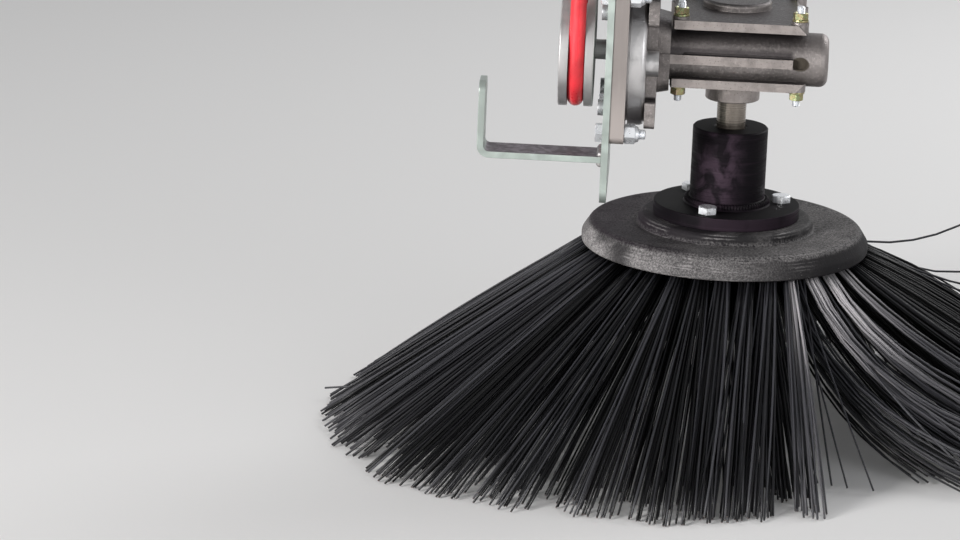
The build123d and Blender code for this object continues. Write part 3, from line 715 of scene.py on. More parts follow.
# Half the spacing of the bolts round the axes of worm and drive, and their seats, in millimetres
CORNER_OFFSET = 51.5
BEARING_OFFSET = 27
BEARING_FLANGE = 14
SOCKET_OFFSET = 36
NUT_INSET = 6.0
LOWER_COVER_FACE = -139.3


def hexagon(name, flats, height, bore=0.0, both=False):
    """A hexagon whose corners are turned off at the top, or at both ends; a nut has a sunk bore."""
    corner = flats / math.cos(math.pi / 6)
    rim = corner + 0.2
    face = flats * 0.95
    fall = (rim - face) * math.tan(math.radians(30))
    outline = [(face, 0), (rim, fall)] if both else [(rim, 0)]
    outline += [(rim, height - fall), (face, height)]
    if bore:
        outline += [(bore + BORE_SINK, height), (bore, height - BORE_SINK), (bore, 0)]
    else:
        outline = [(0, 0)] + outline + [(0, height)]
    barrel = turned("barrel", outline, steps=60, ring=bool(bore))
    start_clear()
    bpy.ops.mesh.primitive_cylinder_add(
        vertices=6, radius=corner * MM, depth=(height + 2) * MM, location=(0, 0, height / 2 * MM))
    block = combined(added(name), barrel, "INTERSECT")
    smooth(block, 25)
    return block


def threaded(name, radius, pitch, span):
    """A screw thread's end, from its seat at zero, with a chamfer at the top."""
    rise = pitch / MM
    root = radius - 0.61 * rise
    obj = settled(drawn(name, [(root, -rise), (radius, -rise / 2), (root, 0)]))
    modified(obj, "SCREW", screw_offset=pitch, iterations=int(span / rise) + 3, steps=20, render_steps=20,
             use_merge_vertices=True, use_normal_calculate=True)
    bpy.ops.object.mode_set(mode="EDIT")
    for height, outward in ((0, -1), (span, 1)):
        bpy.ops.mesh.select_all(action="SELECT")
        bpy.ops.mesh.bisect(
            plane_co=(0, 0, height * MM), plane_no=(0, 0, outward), use_fill=True, clear_outer=True)
    close_merged()
    outline = [(0, -1), (radius + 1, -1), (radius + 1, span - THREAD_CHAMFER), (root - 0.6, span), (0, span)]
    combined(obj, turned("tip", outline, steps=40), "INTERSECT")
    smooth(obj, 40)
    return obj


def washer(name, bore, radius, thickness):
    outline = [(bore, 0), (radius, 0), (radius, thickness), (bore, thickness)]
    obj = turned(name, outline, steps=48, ring=True)
    soften(obj, 0.25 * MM)
    return obj


def collared_nut():
    """Lock nut with a rolled collar over its hexagon."""
    high = M8["nut"]
    outline = [(4.05, -0.5), (5.9, -0.5), (5.9, 0.8), (5.5, 1.9), (4.6, M8["collar"]), (4.05, 2.3)]
    collar = turned("collar", [(radius, high + rise) for radius, rise in outline], steps=48, ring=True)
    smooth(collar, 50)
    return joined("lock_nut", hexagon("nut", M8["flats"], high, both=True), collar)


def square(offset):
    return [(a * offset, b * offset) for a in (-1, 1) for b in (-1, 1)]


def through_bolts(name, level, offset, grip_right, node):
    """Bolt heads left of the plate, nuts and thread ends right of what it carries."""
    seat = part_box("mounting_plate")[0].x / MM
    places = [(y, level / MM + z) for y, z in square(offset)]

    def each(model, x, tilt, first=0, step=0):
        return copied(model, "set", [at(x, y, z, step * i + first, tilt) for i, (y, z) in enumerate(places)])

    heads = each(hexagon("head", M8["flats"], M8["head"]), seat, -90, 4, 11)
    nuts = each(collared_nut(), grip_right, 90, 7, 17)
    end = M8["nut"] + M8["collar"] + THREAD_END
    rods = each(threaded("rod", M8["radius"], sizes().m8_pitch, end), grip_right, 90, 0, 70)
    length = grip_right - seat + 0.4
    outline = [(0, 0), (M8["radius"], 0), (M8["radius"], length), (0, length)]
    shanks = each(turned("shank", outline, steps=32), seat - 0.2, 90)
    fitted(joined(name, heads, nuts, rods, shanks), "carrier", "bright_zinc", node)


class SIDEBRUSH_OT_bolts(bpy.types.Operator):
    """Makes the M8 bolts of the adaptor plate and the drive bearing, and the socket screws"""
    bl_idname = "side_brush.bolts"
    bl_label = "Plate Bolts"

    def execute(self, context):
        adaptor_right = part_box("adaptor_plate")[1].x / MM
        through_bolts("corner_bolts", WORM_LEVEL, CORNER_OFFSET, adaptor_right, "adaptor_bolts")
        through_bolts("bearing_fixings", DRIVE_LEVEL, BEARING_OFFSET, BEARING_FLANGE, "bearing_bolts")
        low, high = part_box("plate_screws")
        top = (high.x - low.x) / MM
        floor = top - SOCKET["sunk"]
        outline = [(0, 0), (SOCKET["radius"], 0), (SOCKET["radius"], top),
                   (SOCKET["mouth"], top), (SOCKET["recess"], floor), (0, floor)]
        head = turned("socket_head", outline, steps=48)
        start_clear()
        bpy.ops.mesh.primitive_cylinder_add(
            vertices=6, radius=SOCKET["key"] * MM, depth=SOCKET["key_height"] * MM, location=(0, 0, top * MM))
        combined(head, added("key_hole"), "DIFFERENCE")
        soften(head, 0.4 * MM)
        places = [at(high.x / MM, y, WORM_LEVEL / MM + z, 20, -90) for y, z in square(SOCKET_OFFSET)]
        screws = copied(head, "bell_screws", places)
        fitted(screws, "carrier", "dull_zinc", "plate_screws")
        return {"FINISHED"}


class SIDEBRUSH_OT_cover_nuts(bpy.types.Operator):
    """Makes the yellow plated nuts, washers and stud ends of the gearbox covers"""
    bl_idname = "side_brush.cover_nuts"
    bl_label = "Cover Nuts"

    def execute(self, context):
        low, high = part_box("housing_studs")
        stack = M6["washer"] + M6["nut"] + THREAD_END
        above = high.z / MM - stack
        ring = washer("stud_washer", M6["radius"], M6["washer_radius"], M6["washer"])
        nut = hexagon("stud_nut", M6["flats"], M6["nut"], M6["radius"], True)
        nut = copied(nut, "nut_up", [at(0, 0, M6["washer"], 12)])
        for piece in (ring, nut):
            piece.data.materials.append(finish("yellow_zinc"))
        stud_end = threaded("stud_end", M6["radius"], sizes().m6_pitch, stack)
        stud_end.data.materials.append(finish("bright_zinc"))
        xs = (low.x / MM + NUT_INSET, high.x / MM - NUT_INSET)
        ys = (low.y / MM + NUT_INSET, high.y / MM - NUT_INSET)
        places = []
        for i, (x, y) in enumerate([(x, y) for x in xs for y in ys]):
            places.append(at(x, y, LOWER_COVER_FACE, 23 * i, 180))
            places.append(at(x, y, above, 31 * i))
        piece = copied(joined("stud", ring, nut, stud_end), "cover_nuts", places)
        fitted(piece, "carrier", "yellow_zinc", "housing_studs")
        return {"FINISHED"}


def weld_ripple(name, radius):
    """One ripple of a weld: a flat-faced ball, pressed thin along the seam and leaning back."""
    start_clear()
    bpy.ops.mesh.primitive_uv_sphere_add(segments=10, ring_count=6, radius=radius * MM)
    obj = added(name)
    open_whole()
    bpy.ops.transform.resize(value=(0.55, 1.0, 1.0), center_override=(0, 0, 0))
    bpy.ops.transform.rotate(value=math.radians(12), orient_axis="Z", center_override=(0, 0, 0))
    bpy.ops.object.mode_set(mode="OBJECT")
    smooth(obj, 60)
    return obj


class SIDEBRUSH_OT_plates(bpy.types.Operator):
    """Dresses the mounting plate, the guard bracket with its welds, and the adaptor plate"""
    bl_idname = "side_brush.plates"
    bl_label = "Plates"

    def execute(self, context):
        edge = sizes().edge / MM
        dress(("mounting_plate", "carrier_plate", edge, "carrier", "zinc_plate", "plated_steel"),
              ("belt_guard_bracket", "guard_bar", edge, "carrier", "zinc_plate", "plated_steel"),
              ("adaptor_plate", "adaptor_block", edge, "carrier", "machined_aluminium", "milled_aluminium"))
        low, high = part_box("bracket_weld_beads")
        inset = Vector((0.6, 2.5, 3.4)) * MM
        low, high = (low + inset) / MM, (high - inset) / MM
        ripples = 14
        step = (high.y - low.y) / (ripples - 1)
        places = [at(high.x, low.y + i * step, z, 90) for z in (low.z, high.z) for i in range(ripples)]
        welds = copied(weld_ripple("bead", 3.0), "guard_welds", places)
        fitted(welds, "carrier", "weld_metal", "bracket_weld_beads")
        return {"FINISHED"}


class SIDEBRUSH_OT_gearbox(bpy.types.Operator):
    """Dresses the worm gearbox: bell, flange, housing, covers, seal and filler plug"""
    bl_idname = "side_brush.gearbox"
    bl_label = "Gearbox"

    def execute(self, context):
        dress(("gearbox_bell", "bell", 0.0, "carrier", "cast_aluminium", "turned_casting"),
              ("lug_flange", "lug_plate", 0.5, "carrier", "cast_aluminium", "cast_aluminium"),
              ("side_boss", "bolt_boss", 0.8, "carrier", "cast_aluminium", "turned_casting"),
              ("gearbox_housing", "worm_housing", 0.6, "carrier", "cast_aluminium", "cast_aluminium"),
              ("output_cover", "lower_cover", 0.5, "carrier", "cast_aluminium", "cast_aluminium"),
              ("top_cover", "upper_cover", 0.5, "carrier", "cast_aluminium", "cast_aluminium"),
              ("output_seal", "shaft_seal", 0.3, "carrier", "seal_rubber", "seal_rubber"))
        low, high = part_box("filler_plug")
        middle = (low + high) / 2 / MM
        collar = washer("plug_collar", PLUG["bore"], PLUG["radius"], PLUG["collar"])
        head = hexagon("plug_head", PLUG["flats"], PLUG["head"])
        head = copied(head, "plug_up", [at(0, 0, PLUG["collar"])])
        place = at(middle.x, middle.y, low.z / MM, 15)
        plug = copied(joined("plug", collar, head), "breather_plug", [place])
        fitted(plug, "carrier", "bright_zinc", "filler_plug")
        return {"FINISHED"}


class SIDEBRUSH_OT_drive(bpy.types.Operator):
    """Dresses the belt drive: bearing, shafts, pulleys and the red round belt"""
    bl_idname = "side_brush.drive"
    bl_label = "Belt Drive"

    def execute(self, context):
        dress(("drive_bearing", "bearing_casting", 0.8, "carrier", "cast_iron", "painted_iron"),
              ("input_shaft", "worm_shaft", 0.3, "input", "bright_steel", "ground_steel"),
              ("drive_shaft", "upper_shaft", 0.3, "drive", "bright_steel", "ground_steel"),
              ("input_pulley", "lower_pulley", 0.0, "input", "turned_aluminium", "turned_aluminium"),
              ("drive_pulley", "upper_pulley", 0.0, "drive", "turned_aluminium", "turned_aluminium"))
        belt = from_frame("drive_belt", "round_belt")
        smooth(belt, 60)
        fitted(belt, "carrier", "red_belt", "drive_belt")
        return {"FINISHED"}


# Hub of the brush, in millimetres
SLEEVE_RADIUS = 28.5
SLEEVE_BORE = 11
WELD_RADIUS = 29.8
WELD_RIPPLES = 84
BOLT_CIRCLE = 42
FIRST_BOLT_ANGLE = 10


def on_circle(radius, degrees):
    """A place round the brush axis, in millimetres."""
    turn = math.radians(degrees)
    return BRUSH_AXIS.x / MM + radius * math.cos(turn), BRUSH_AXIS.y / MM + radius * math.sin(turn)


def hub_sleeve():
    """Sleeve with turning grooves of uneven depth and spacing."""
    low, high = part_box("hub_sleeve")
    bottom, top = low.z / MM, high.z / MM
    rng = random.Random(11)
    outline = [(SLEEVE_BORE, bottom), (SLEEVE_RADIUS, bottom)]
    height = bottom + 6.5
    while height < top - 2.2:
        groove = rng.choice((0.04, 0.06, 0.1, 0.2))
        for depth, rise in ((0, 0), (groove, 0.3), (0, 0.6)):
            outline.append((SLEEVE_RADIUS - depth, height + rise))
        height += rng.uniform(1.0, 2.6)
    outline += [(SLEEVE_RADIUS, top - 1), (SLEEVE_RADIUS - 1, top),
                (SLEEVE_BORE + 2, top), (SLEEVE_BORE, top - 1.5)]
    sleeve = turned("turned_sleeve", outline, tuple(BRUSH_AXIS), steps=128, ring=True)
    smooth(sleeve, 30)
    fitted(sleeve, "brush", "black_oxide", "hub_sleeve")


def hub_weld():
    """Weld round the sleeve's foot: its root and a ring of ripples."""
    low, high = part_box("hub_weld")
    bottom = low.z / MM
    outline = [(28.3, bottom), (33.4, bottom), (28.3, high.z / MM - 0.6)]
    root = turned("weld_root", outline, tuple(BRUSH_AXIS), ring=True)
    smooth(root, 60)
    places = []
    for i in range(WELD_RIPPLES):
        degrees = 360 * i / WELD_RIPPLES
        places.append(at(*on_circle(WELD_RADIUS, degrees), bottom + 1.9, degrees + 90))
    ripples = copied(weld_ripple("ripple", 2.9), "weld_ripples", places)
    fitted(joined("hub_weld_bead", root, ripples), "brush", "black_oxide", "hub_weld")


def flange_bolts():
    """Three bolts: heads on the flange, nuts and thread ends under the disc."""
    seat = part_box("hub_flange")[1].z / MM
    under = [at(0, 0, DISC_LOW.z / MM - seat, 0, 180)]
    head = hexagon("head", M8["flats"], M8["head"])
    nut = copied(hexagon("nut", M8["flats"], M8["nut"], M8["radius"], True), "nut_low", under)
    rod = threaded("rod", M8["radius"], sizes().m8_pitch, M8["nut"] + THREAD_END)
    bolt = joined("bolt", head, nut, copied(rod, "rod_low", under))
    places = [at(*on_circle(BOLT_CIRCLE, FIRST_BOLT_ANGLE + 120 * i), seat, 24 * i + 8) for i in range(3)]
    fitted(copied(bolt, "flange_bolts", places), "brush", "bright_zinc", "hub_bolts")


def shaft_fixing():
    """Thick washer and screw that hold the hub on the shaft's end."""
    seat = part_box("shaft_retainer")[1].z / MM - RETAINER["plate"]
    plate = washer("retainer_plate", RETAINER["bore"], RETAINER["radius"], RETAINER["plate"])
    screw = hexagon("retainer_head", M8["flats"], M8["head"])
    retainer = joined("retainer", plate, copied(screw, "retainer_low", [at(0, 0, 0, 9, 180)]))
    retainer = copied(retainer, "shaft_fixing", [at(*on_circle(0, 0), seat)])
    fitted(retainer, "brush", "bright_zinc", "shaft_retainer")


class SIDEBRUSH_OT_hub(bpy.types.Operator):
    """Makes the brush hub: shaft, turned sleeve with its weld, flange, bolts and the shaft's retainer"""
    bl_idname = "side_brush.hub"
    bl_label = "Brush Hub"

    def execute(self, context):
        hub_sleeve()
        hub_weld()
        dress(("hub_flange", "bolt_flange", 0.0, "brush", "black_steel", "black_oxide"),
              ("output_shaft", "brush_shaft", 0.3, "brush", "bright_steel", "ground_steel"))
        flange_bolts()
        shaft_fixing()
        return {"FINISHED"}


class SIDEBRUSH_OT_disc(bpy.types.Operator):
    """Makes the moulded brush disc with its rolled rim, dished top and hub pad"""
    bl_idname = "side_brush.disc"
    bl_label = "Brush Disc"

    def execute(self, context):
        dress(("brush_disc", "moulded_disc", 0.0, "brush", "disc_plastic", "dusty_plastic"))
        return {"FINISHED"}


# Bristles

# Rings of tufts: columns are name, node, tufts, share of the bristles, root and tip radius, first angle, tip
# scatter, share of the parting, and how strong the painted glints on its bristles are
TUFT_RINGS = [
    ("bristles_outer", "tufts_outer", 36, 1.0, 98, 293, 0, 13, 1.0, 2.6),
    ("bristles_middle", "tufts_middle", 30, 0.9, 80, 258, 4, 14, 0.7, 0.3),
    ("bristles_inner", "tufts_inner", 24, 0.8, 62, 221, 9, 15, 0.45, 0.0),
]
BRISTLE_SPANS = 8
GOLDEN_TURN = 2.39996

# One tuft, in millimetres: its half depth and half width at the root, how far its tips may pass their
# mean reach, and the share of bristles that stand loose in it
ROOT_DEPTH = 4.4
ROOT_WIDTH = 5.6
TIP_PAST = 12.5
LOOSE_SHARE = 0.12

# Parting of the brush, in degrees from +X round its axis, and turns of the tips beside it for each degree
PARTING_ANGLE = -57
PARTED_LEFT_TO = -95
PARTED_RIGHT_TO = 45
LEFT_RATE = 0.45
RIGHT_RATE = 0.265

# Angles where the flare ends and where the tufts with painted glints start and end, with the degrees each
# change takes
FLARE_END = -6
FLARE_FADE = 34
GLINT_START = -66
GLINT_RISE = 8
GLINT_END = -18
GLINT_FADE = 20

# Between these angles the bristles are painted darker, as shade
SHADED_FROM = -36
SHADED_TO = 75
PAINTED_SHADE_FACTOR = 0.22

# Reach of the tips: columns are angle round the brush axis, share of the tip radius
TIP_REACH = [
    (-180, 0.975), (-165, 1.005), (-142, 1.065), (-132, 1.055), (-120, 0.99), (-105, 0.95), (-90, 0.885),
    (-75, 0.835), (-57, 0.9), (-30, 1.0), (60, 1.0), (110, 0.93), (165, 0.93), (180, 0.975),
]


def level_turn(angle):
    """The angle between -180 and 180 degrees."""
    return (angle + 180) % 360 - 180


def brushed_aside(angle, share):
    """Degrees that a tuft's tip is turned away from the parting at the brush's right front."""
    turn = level_turn(angle)
    if PARTED_LEFT_TO < turn <= PARTING_ANGLE:
        return share * LEFT_RATE * (PARTED_LEFT_TO - turn)
    if PARTING_ANGLE < turn < PARTED_RIGHT_TO:
        return share * RIGHT_RATE * (PARTED_RIGHT_TO - turn)
    return 0


def between(rows, angle):
    """Values at an angle, between the rows of a table."""
    turn = level_turn(angle)
    for (start, *low), (end, *high) in zip(rows, rows[1:]):
        if turn <= end:
            share = (turn - start) / (end - start)
            return [a + (b - a) * share for a, b in zip(low, high)]


# Slopes of the bristles, as shares of their mean slope: columns are angle, at the root, at the tip
SLOPES = [
    (-180, 1.0, 1.0), (-110, 0.95, 1.05), (-58, 0.95, 1.05), (-56, 2.3, 0.35), (-42, 2.0, 0.45),
    (-12, 0.75, 1.3), (20, 0.62, 1.45), (80, 0.7, 1.35), (125, 0.95, 1.05), (180, 1.0, 1.0),
]


def flare(angle):
    """How far a tuft is bent outwards by the sweep: all of it right of the parting, none further round."""
    turn = level_turn(angle)
    return 0.0 if turn <= PARTING_ANGLE else max(0.0, min(1.0, (FLARE_END - turn) / FLARE_FADE))


def shine(angle):
    """How much of a tuft gets painted glints: all by the parting, less to either side."""
    turn = level_turn(angle)
    return max(0.0, min(1.0, (turn - GLINT_START) / GLINT_RISE, (GLINT_END - turn) / GLINT_FADE))


def bristle_line(root, tip, start_slope, end_slope, bow, lean=0.0):
    """Points of one bristle from its start and end slopes; a lean sets off outwards before it turns aside."""
    flat = Vector((tip.x - root.x, tip.y - root.y, 0))
    run = flat.length
    drop = root.z - tip.z
    knee = run / 2
    if abs(end_slope - start_slope) > 0.02:
        knee = (end_slope * run - drop) / (end_slope - start_slope)
    knee = max(0.2 * run, min(0.8 * run, knee))
    outward = Vector((root.x, root.y, 0)).normalized()
    heading = flat.normalized().lerp(outward, lean)
    middle = root + heading * knee + Vector((0, 0, -start_slope * knee)) + bow
    points = []
    for step in range(BRISTLE_SPANS + 1):
        t = step / BRISTLE_SPANS
        points.append(root * (1 - t) ** 2 + middle * 2 * t * (1 - t) + tip * t ** 2)
    return points


def tuft_lines(tufts, count, root_radius, tip_radius, first, scatter, parting, glints, rng):
    """Bristle lines of one ring of tufts; each tuft spreads from a round bundle to a ragged fan."""
    floor = FLOOR_LEVEL / MM
    top = DISC_LOW.z / MM + 1
    spacing = 360 / tufts
    lines = []
    for k in range(tufts):
        angle = first + spacing * k
        side = brushed_aside(angle, parting)
        before = spacing + side - brushed_aside(angle - spacing, parting)
        after = spacing + brushed_aside(angle + spacing, parting) - side
        fan = math.radians(min(before, after, spacing) / 2) * rng.uniform(0.7, 1.15)
        side += rng.uniform(-2.0, 2.0)
        out = tip_radius * between(TIP_REACH, angle + side)[0]
        worn = rng.uniform(-5, 4)
        bent = flare(angle)
        twist = rng.uniform(0, math.tau)
        tone = rng.uniform(0.0, 0.35)
        # Painted shade: tufts between these angles are darkened
        dim = PAINTED_SHADE_FACTOR if SHADED_FROM < level_turn(angle) < SHADED_TO else 1.0
        for j in range(count):
            turn = j * GOLDEN_TURN + twist
            size = math.sqrt((j + 0.5) / count)
            u, v = size * math.cos(turn), size * math.sin(turn)
            loose = 3.0 if rng.random() < LOOSE_SHARE else 1.0
            root_r = root_radius + ROOT_DEPTH * u
            root_a = math.radians(angle) + ROOT_WIDTH * v / root_radius
            tip_r = min(out + scatter * u + worn + rng.gauss(0, 3.0), out + TIP_PAST)
            tip_a = math.radians(angle + side) + fan * v + loose * rng.gauss(0, 2.6) / out
            lift = max(0.0, rng.gauss(-1.0, 2.6)) + bent * max(0.0, rng.gauss(4, 8))
            root = Vector((root_r * math.cos(root_a), root_r * math.sin(root_a), top))
            tip = Vector((tip_r * math.cos(tip_a), tip_r * math.sin(tip_a), floor + 1.0 + lift))
            bow = Vector((rng.gauss(0, 2.4), rng.gauss(0, 2.4), rng.gauss(0, 1.8))) * math.sqrt(loose)
            steep = (root.z - tip.z) / max((tip - root).xy.length, 1)
            at_root, at_tip = between(SLOPES, angle)
            line = bristle_line(root, tip, steep * at_root, steep * at_tip, bow, 0.8 * bent)
            # Painted highlight: glints on the tufts by the parting
            glint = glints * shine(angle) * max(0.0, u + 0.9) * rng.random()
            lines.append((line, dim * (tone + 0.65 * rng.random() ** 2.2) + glint))
    return lines


def bristle_mesh(name, lines):
    """Round bristles swept along their lines, with a shade for each and its share along."""
    start_clear()
    bpy.ops.curve.primitive_bezier_curve_add()
    obj = added(name)
    data = obj.data
    data.splines.clear()
    data.dimensions = "3D"
    data.bevel_depth = sizes().bristle_radius
    data.bevel_resolution = 1
    data.resolution_u = 1
    thin = sizes().tip_radius / sizes().bristle_radius
    for points, _ in lines:
        spline = data.splines.new("POLY")
        spline.points.add(len(points) - 1)
        for i, point in enumerate(points):
            place = BRUSH_AXIS + point * MM
            spline.points[i].co = (*place, 1)
            spline.points[i].radius = 1 + (thin - 1) * i / (len(points) - 1)
    only(obj)
    bpy.ops.object.convert(target="MESH")
    obj = added(name)
    mesh = obj.data
    rows = BRISTLE_SPANS + 1
    each = len(mesh.vertices) // len(lines)
    sides = each // rows
    if sides * rows * len(lines) != len(mesh.vertices):
        raise RuntimeError("A bristle's rings are not all of one size")
    shades = [tone for _, tone in lines for _ in range(each)]
    shares = [i % each // sides / BRISTLE_SPANS for i in range(len(mesh.vertices))]
    for key, values in (("shade", shades), ("along", shares)):
        mesh.attributes.new(key, "FLOAT", "POINT")
        mesh.attributes[key].data.foreach_set("value", values)
    open_whole()
    bpy.ops.mesh.fill_holes(sides=sides)
    bpy.ops.mesh.select_all(action="SELECT")
    bpy.ops.mesh.normals_make_consistent(inside=False)
    bpy.ops.object.mode_set(mode="OBJECT")
    mesh = obj.data
    mesh.materials.clear()
    for look in ("bristle_black", "bristle_end"):
        mesh.materials.append(finish(look))
    for face in mesh.polygons:
        side = len(face.vertices) == 4
        face.use_smooth = side
        face.material_index = 0 if side else 1
    return obj


STRAY_ROOT = 98
STRAY_SHADE = 0.6

# Single bristles out of their tufts: columns are root angle and height, tip angle, radius and height, slope
# at the root and at the tip
STRAYS = [
    (21.6, -273, 27.9, 267, -242, 0.3, -0.72),
    (27.6, -273, 29.5, 302, -276, 0.59, -1.17),
    (24.7, -273, 12.5, 297, -307, 0.5, -0.39),
    (26.3, -273, 9.5, 263, -325, 0.46, -0.93),
    (184, -273, 182, 301, -402, 1.15, 0.03),
    (-58, -273, -61, 201, -407, 1.5, 1.2),
    (-56, -273, -57, 214, -407, 1.4, 1.1),
    (-53, -273, -63, 190, -408, 1.6, 1.3),
    (-50, -273, -40, 262, -405, 1.3, 0.5),
    (-46, -273, -34, 276, -405, 1.3, 0.4),
]


def stray_lines():
    lines = []
    for start, height, end, radius, low, start_slope, end_slope in STRAYS:
        a, b = math.radians(start), math.radians(end)
        root = Vector((STRAY_ROOT * math.cos(a), STRAY_ROOT * math.sin(a), height))
        tip = Vector((radius * math.cos(b), radius * math.sin(b), low))
        line = bristle_line(root, tip, start_slope, end_slope + 0.001, Vector((0, 0, 0)))
        lines.append((line, STRAY_SHADE))
    return lines


class SIDEBRUSH_OT_bristles(bpy.types.Operator):
    """Makes the three rings of bristle tufts, bristle by bristle"""
    bl_idname = "side_brush.bristles"
    bl_label = "Bristles"

    def execute(self, context):
        rng = random.Random(sizes().seed)
        for name, node, tufts, share, root, tip, first, scatter, parting, glints in TUFT_RINGS:
            count = max(3, round(sizes().bristles * share))
            lines = tuft_lines(tufts, count, root, tip, first, scatter, parting, glints, rng)
            if node == "tufts_outer":
                lines += stray_lines()
            fitted(bristle_mesh(name, lines), "brush", "bristle_black", node)
        return {"FINISHED"}


# Stage: floor, lamps, sky and the camera, which stands where the photograph's did
CAMERA_PLACE = Vector((0.04527, -3.3122, 0.6126))
CAMERA_TURN = math.radians(2.394)
CAMERA_FALL = math.radians(15.286)
CAMERA_ROLL = math.radians(2.363)
CAMERA_FOCUS_PIXELS = 4540
FRAME_PIXELS = 960
SENSOR_WIDTH = 36
FLOOR_RADIUS = 14
SEEN_FLOOR = (0.77, 0.765, 0.765)
SEEN_FLOOR_GLOW = 0.05
SKY_STRENGTH = 0.52
SEEN_SKY_STRENGTH = 0.9
LAMPS_AIM = Vector((0.06, 0.0, -0.2))

# Lamps: columns are name, place, size in metres, power in watts, tone
LAMPS = (
    ("key_lamp", (-2.1, -2.2, 0.5), 1.1, 106, (1.0, 0.985, 0.97)),
    ("fill_lamp", (1.7, -1.9, 0.4), 1.6, 12, (0.97, 0.98, 1.0)),
    ("back_lamp", (1.3, 1.5, 1.1), 1.3, 24, (1.0, 1.0, 1.0)),
)

# Sky from the horizon up: columns are height, colour
SKY = ((0.12, (0.90, 0.905, 0.91, 1)), (0.75, (0.34, 0.345, 0.35, 1)))


def seen_directly(nodes, links):
    """One for rays from the camera, off gloss or through glass; zero for light that falls on the object."""
    rays = nodes.new("ShaderNodeLightPath").outputs
    seen = rays["Is Camera Ray"]
    for kind in ("Is Glossy Ray", "Is Transmission Ray"):
        either = nodes.new("ShaderNodeMath")
        either.operation = "MAXIMUM"
        links.new(seen, either.inputs[0])
        links.new(rays[kind], either.inputs[1])
        seen = either.outputs[0]
    return seen


def studio_floor():
    """Pale floor that is seen paler than it lights the object from below."""
    f = Finish("studio_floor", 0.0, 0.9)
    base = colours().floor
    seen = seen_directly(f.nodes, f.links)
    tone = f.blend(f.span(f.noise(3.0, 4), 0.3, 0.7), tinted(base, 0.97), tinted(base, 1.03))
    f.put("Emission Color", (1.0, 0.995, 0.99))
    f.put("Emission Strength", f.times(seen, SEEN_FLOOR_GLOW))
    return f.finished(f.blend(seen, tone, SEEN_FLOOR), None, (f.noise(180, 3), 0.1 * MM))


def studio_camera():
    """Camera at the photograph's viewing angle, level but for its small roll."""
    forward = Vector((-math.sin(CAMERA_TURN) * math.cos(CAMERA_FALL),
                      math.cos(CAMERA_TURN) * math.cos(CAMERA_FALL), -math.sin(CAMERA_FALL)))
    side = Vector((math.cos(CAMERA_TURN), math.sin(CAMERA_TURN), 0))
    up = side.cross(forward)
    right = side * math.cos(CAMERA_ROLL) + up * math.sin(CAMERA_ROLL)
    above = up * math.cos(CAMERA_ROLL) - side * math.sin(CAMERA_ROLL)
    bpy.ops.object.camera_add(location=CAMERA_PLACE)
    camera = added("studio_camera")
    turn = Matrix((right, above, -forward)).transposed()
    camera.matrix_world = Matrix.Translation(CAMERA_PLACE) @ turn.to_4x4()
    camera.data.sensor_width = SENSOR_WIDTH
    camera.data.lens = SENSOR_WIDTH * CAMERA_FOCUS_PIXELS / FRAME_PIXELS
    camera.data.clip_start = 0.05
    camera.data.clip_end = 60
    return camera


def lamp(name, place, size, power, tone):
    bpy.ops.object.light_add(type="AREA", location=place)
    obj = added(name)
    obj.data.energy = power
    obj.data.shape = "DISK"
    obj.data.size = size
    obj.data.color = tone
    obj.rotation_euler = (LAMPS_AIM - Vector(place)).to_track_quat("-Z", "Y").to_euler()


def studio_air():
    """Sky that darkens from the horizon upwards, and is seen brighter than it lights the object."""
    world = bpy.data.worlds.new("studio_air")
    world.use_nodes = True
    nodes = world.node_tree.nodes
    links = world.node_tree.links
    background = nodes["Background"]
    height = nodes.new("ShaderNodeSeparateXYZ")
    links.new(nodes.new("ShaderNodeTexCoord").outputs["Generated"], height.inputs[0])
    ramp = nodes.new("ShaderNodeValToRGB")
    for stop, (position, tone) in zip(ramp.color_ramp.elements, SKY):
        stop.position = position
        stop.color = tone
    links.new(height.outputs["Z"], ramp.inputs["Fac"])
    links.new(ramp.outputs["Color"], background.inputs["Color"])
    level = nodes.new("ShaderNodeMapRange")
    links.new(seen_directly(nodes, links), level.inputs["Value"])
    level.inputs["To Min"].default_value = SKY_STRENGTH
    level.inputs["To Max"].default_value = SEEN_SKY_STRENGTH
    links.new(level.outputs["Result"], background.inputs["Strength"])
    return world


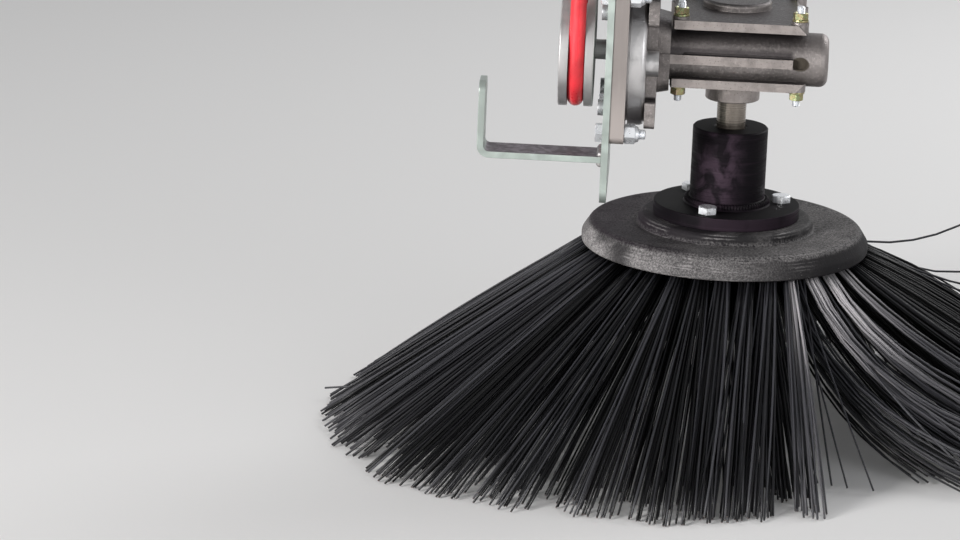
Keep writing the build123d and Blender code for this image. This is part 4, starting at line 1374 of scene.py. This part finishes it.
class SIDEBRUSH_OT_stage(bpy.types.Operator):
    """Sets the camera, the pale floor and the soft lamps"""
    bl_idname = "side_brush.stage"
    bl_label = "Stage"

    def execute(self, context):
        start_clear()
        context.scene.camera = studio_camera()
        bpy.ops.mesh.primitive_circle_add(
            vertices=96, radius=FLOOR_RADIUS, fill_type="NGON", location=(0, 0, FLOOR_LEVEL))
        ground = settled(added("ground"))
        ground.data.materials.append(studio_floor())
        for row in LAMPS:
            lamp(*row)
        context.scene.world = studio_air()
        context.scene.view_settings.view_transform = "Standard"
        return {"FINISHED"}


class SIDEBRUSH_PT_panel(bpy.types.Panel):
    bl_idname = "SIDEBRUSH_PT_panel"
    bl_label = "Side Brush Unit"
    bl_space_type = "VIEW_3D"
    bl_region_type = "UI"
    bl_category = "Side Brush"

    def draw(self, context):
        for step in STEPS:
            self.layout.operator(step.bl_idname)
        for group in (sizes(), colours()):
            box = self.layout.box()
            for key in group.__annotations__:
                box.prop(group, key)


STEPS = (
    SIDEBRUSH_OT_stage, SIDEBRUSH_OT_plates, SIDEBRUSH_OT_bolts, SIDEBRUSH_OT_gearbox,
    SIDEBRUSH_OT_cover_nuts, SIDEBRUSH_OT_drive, SIDEBRUSH_OT_hub, SIDEBRUSH_OT_disc,
    SIDEBRUSH_OT_bristles,
)
CLASSES = (SIDEBRUSH_PG_sizes, SIDEBRUSH_PG_colours, *STEPS, SIDEBRUSH_PT_panel)


def register():
    for cls in CLASSES:
        bpy.utils.register_class(cls)
    bpy.types.Scene.side_brush_sizes = PointerProperty(type=SIDEBRUSH_PG_sizes)
    bpy.types.Scene.side_brush_colours = PointerProperty(type=SIDEBRUSH_PG_colours)


def unregister():
    del bpy.types.Scene.side_brush_colours
    del bpy.types.Scene.side_brush_sizes
    for cls in reversed(CLASSES):
        bpy.utils.unregister_class(cls)


def main():
    register()
    bpy.ops.side_brush.stage()
    bpy.ops.side_brush.plates()
    bpy.ops.side_brush.bolts()
    bpy.ops.side_brush.gearbox()
    bpy.ops.side_brush.cover_nuts()
    bpy.ops.side_brush.drive()
    bpy.ops.side_brush.hub()
    bpy.ops.side_brush.disc()
    bpy.ops.side_brush.bristles()


if __name__ == "__main__":
    main()
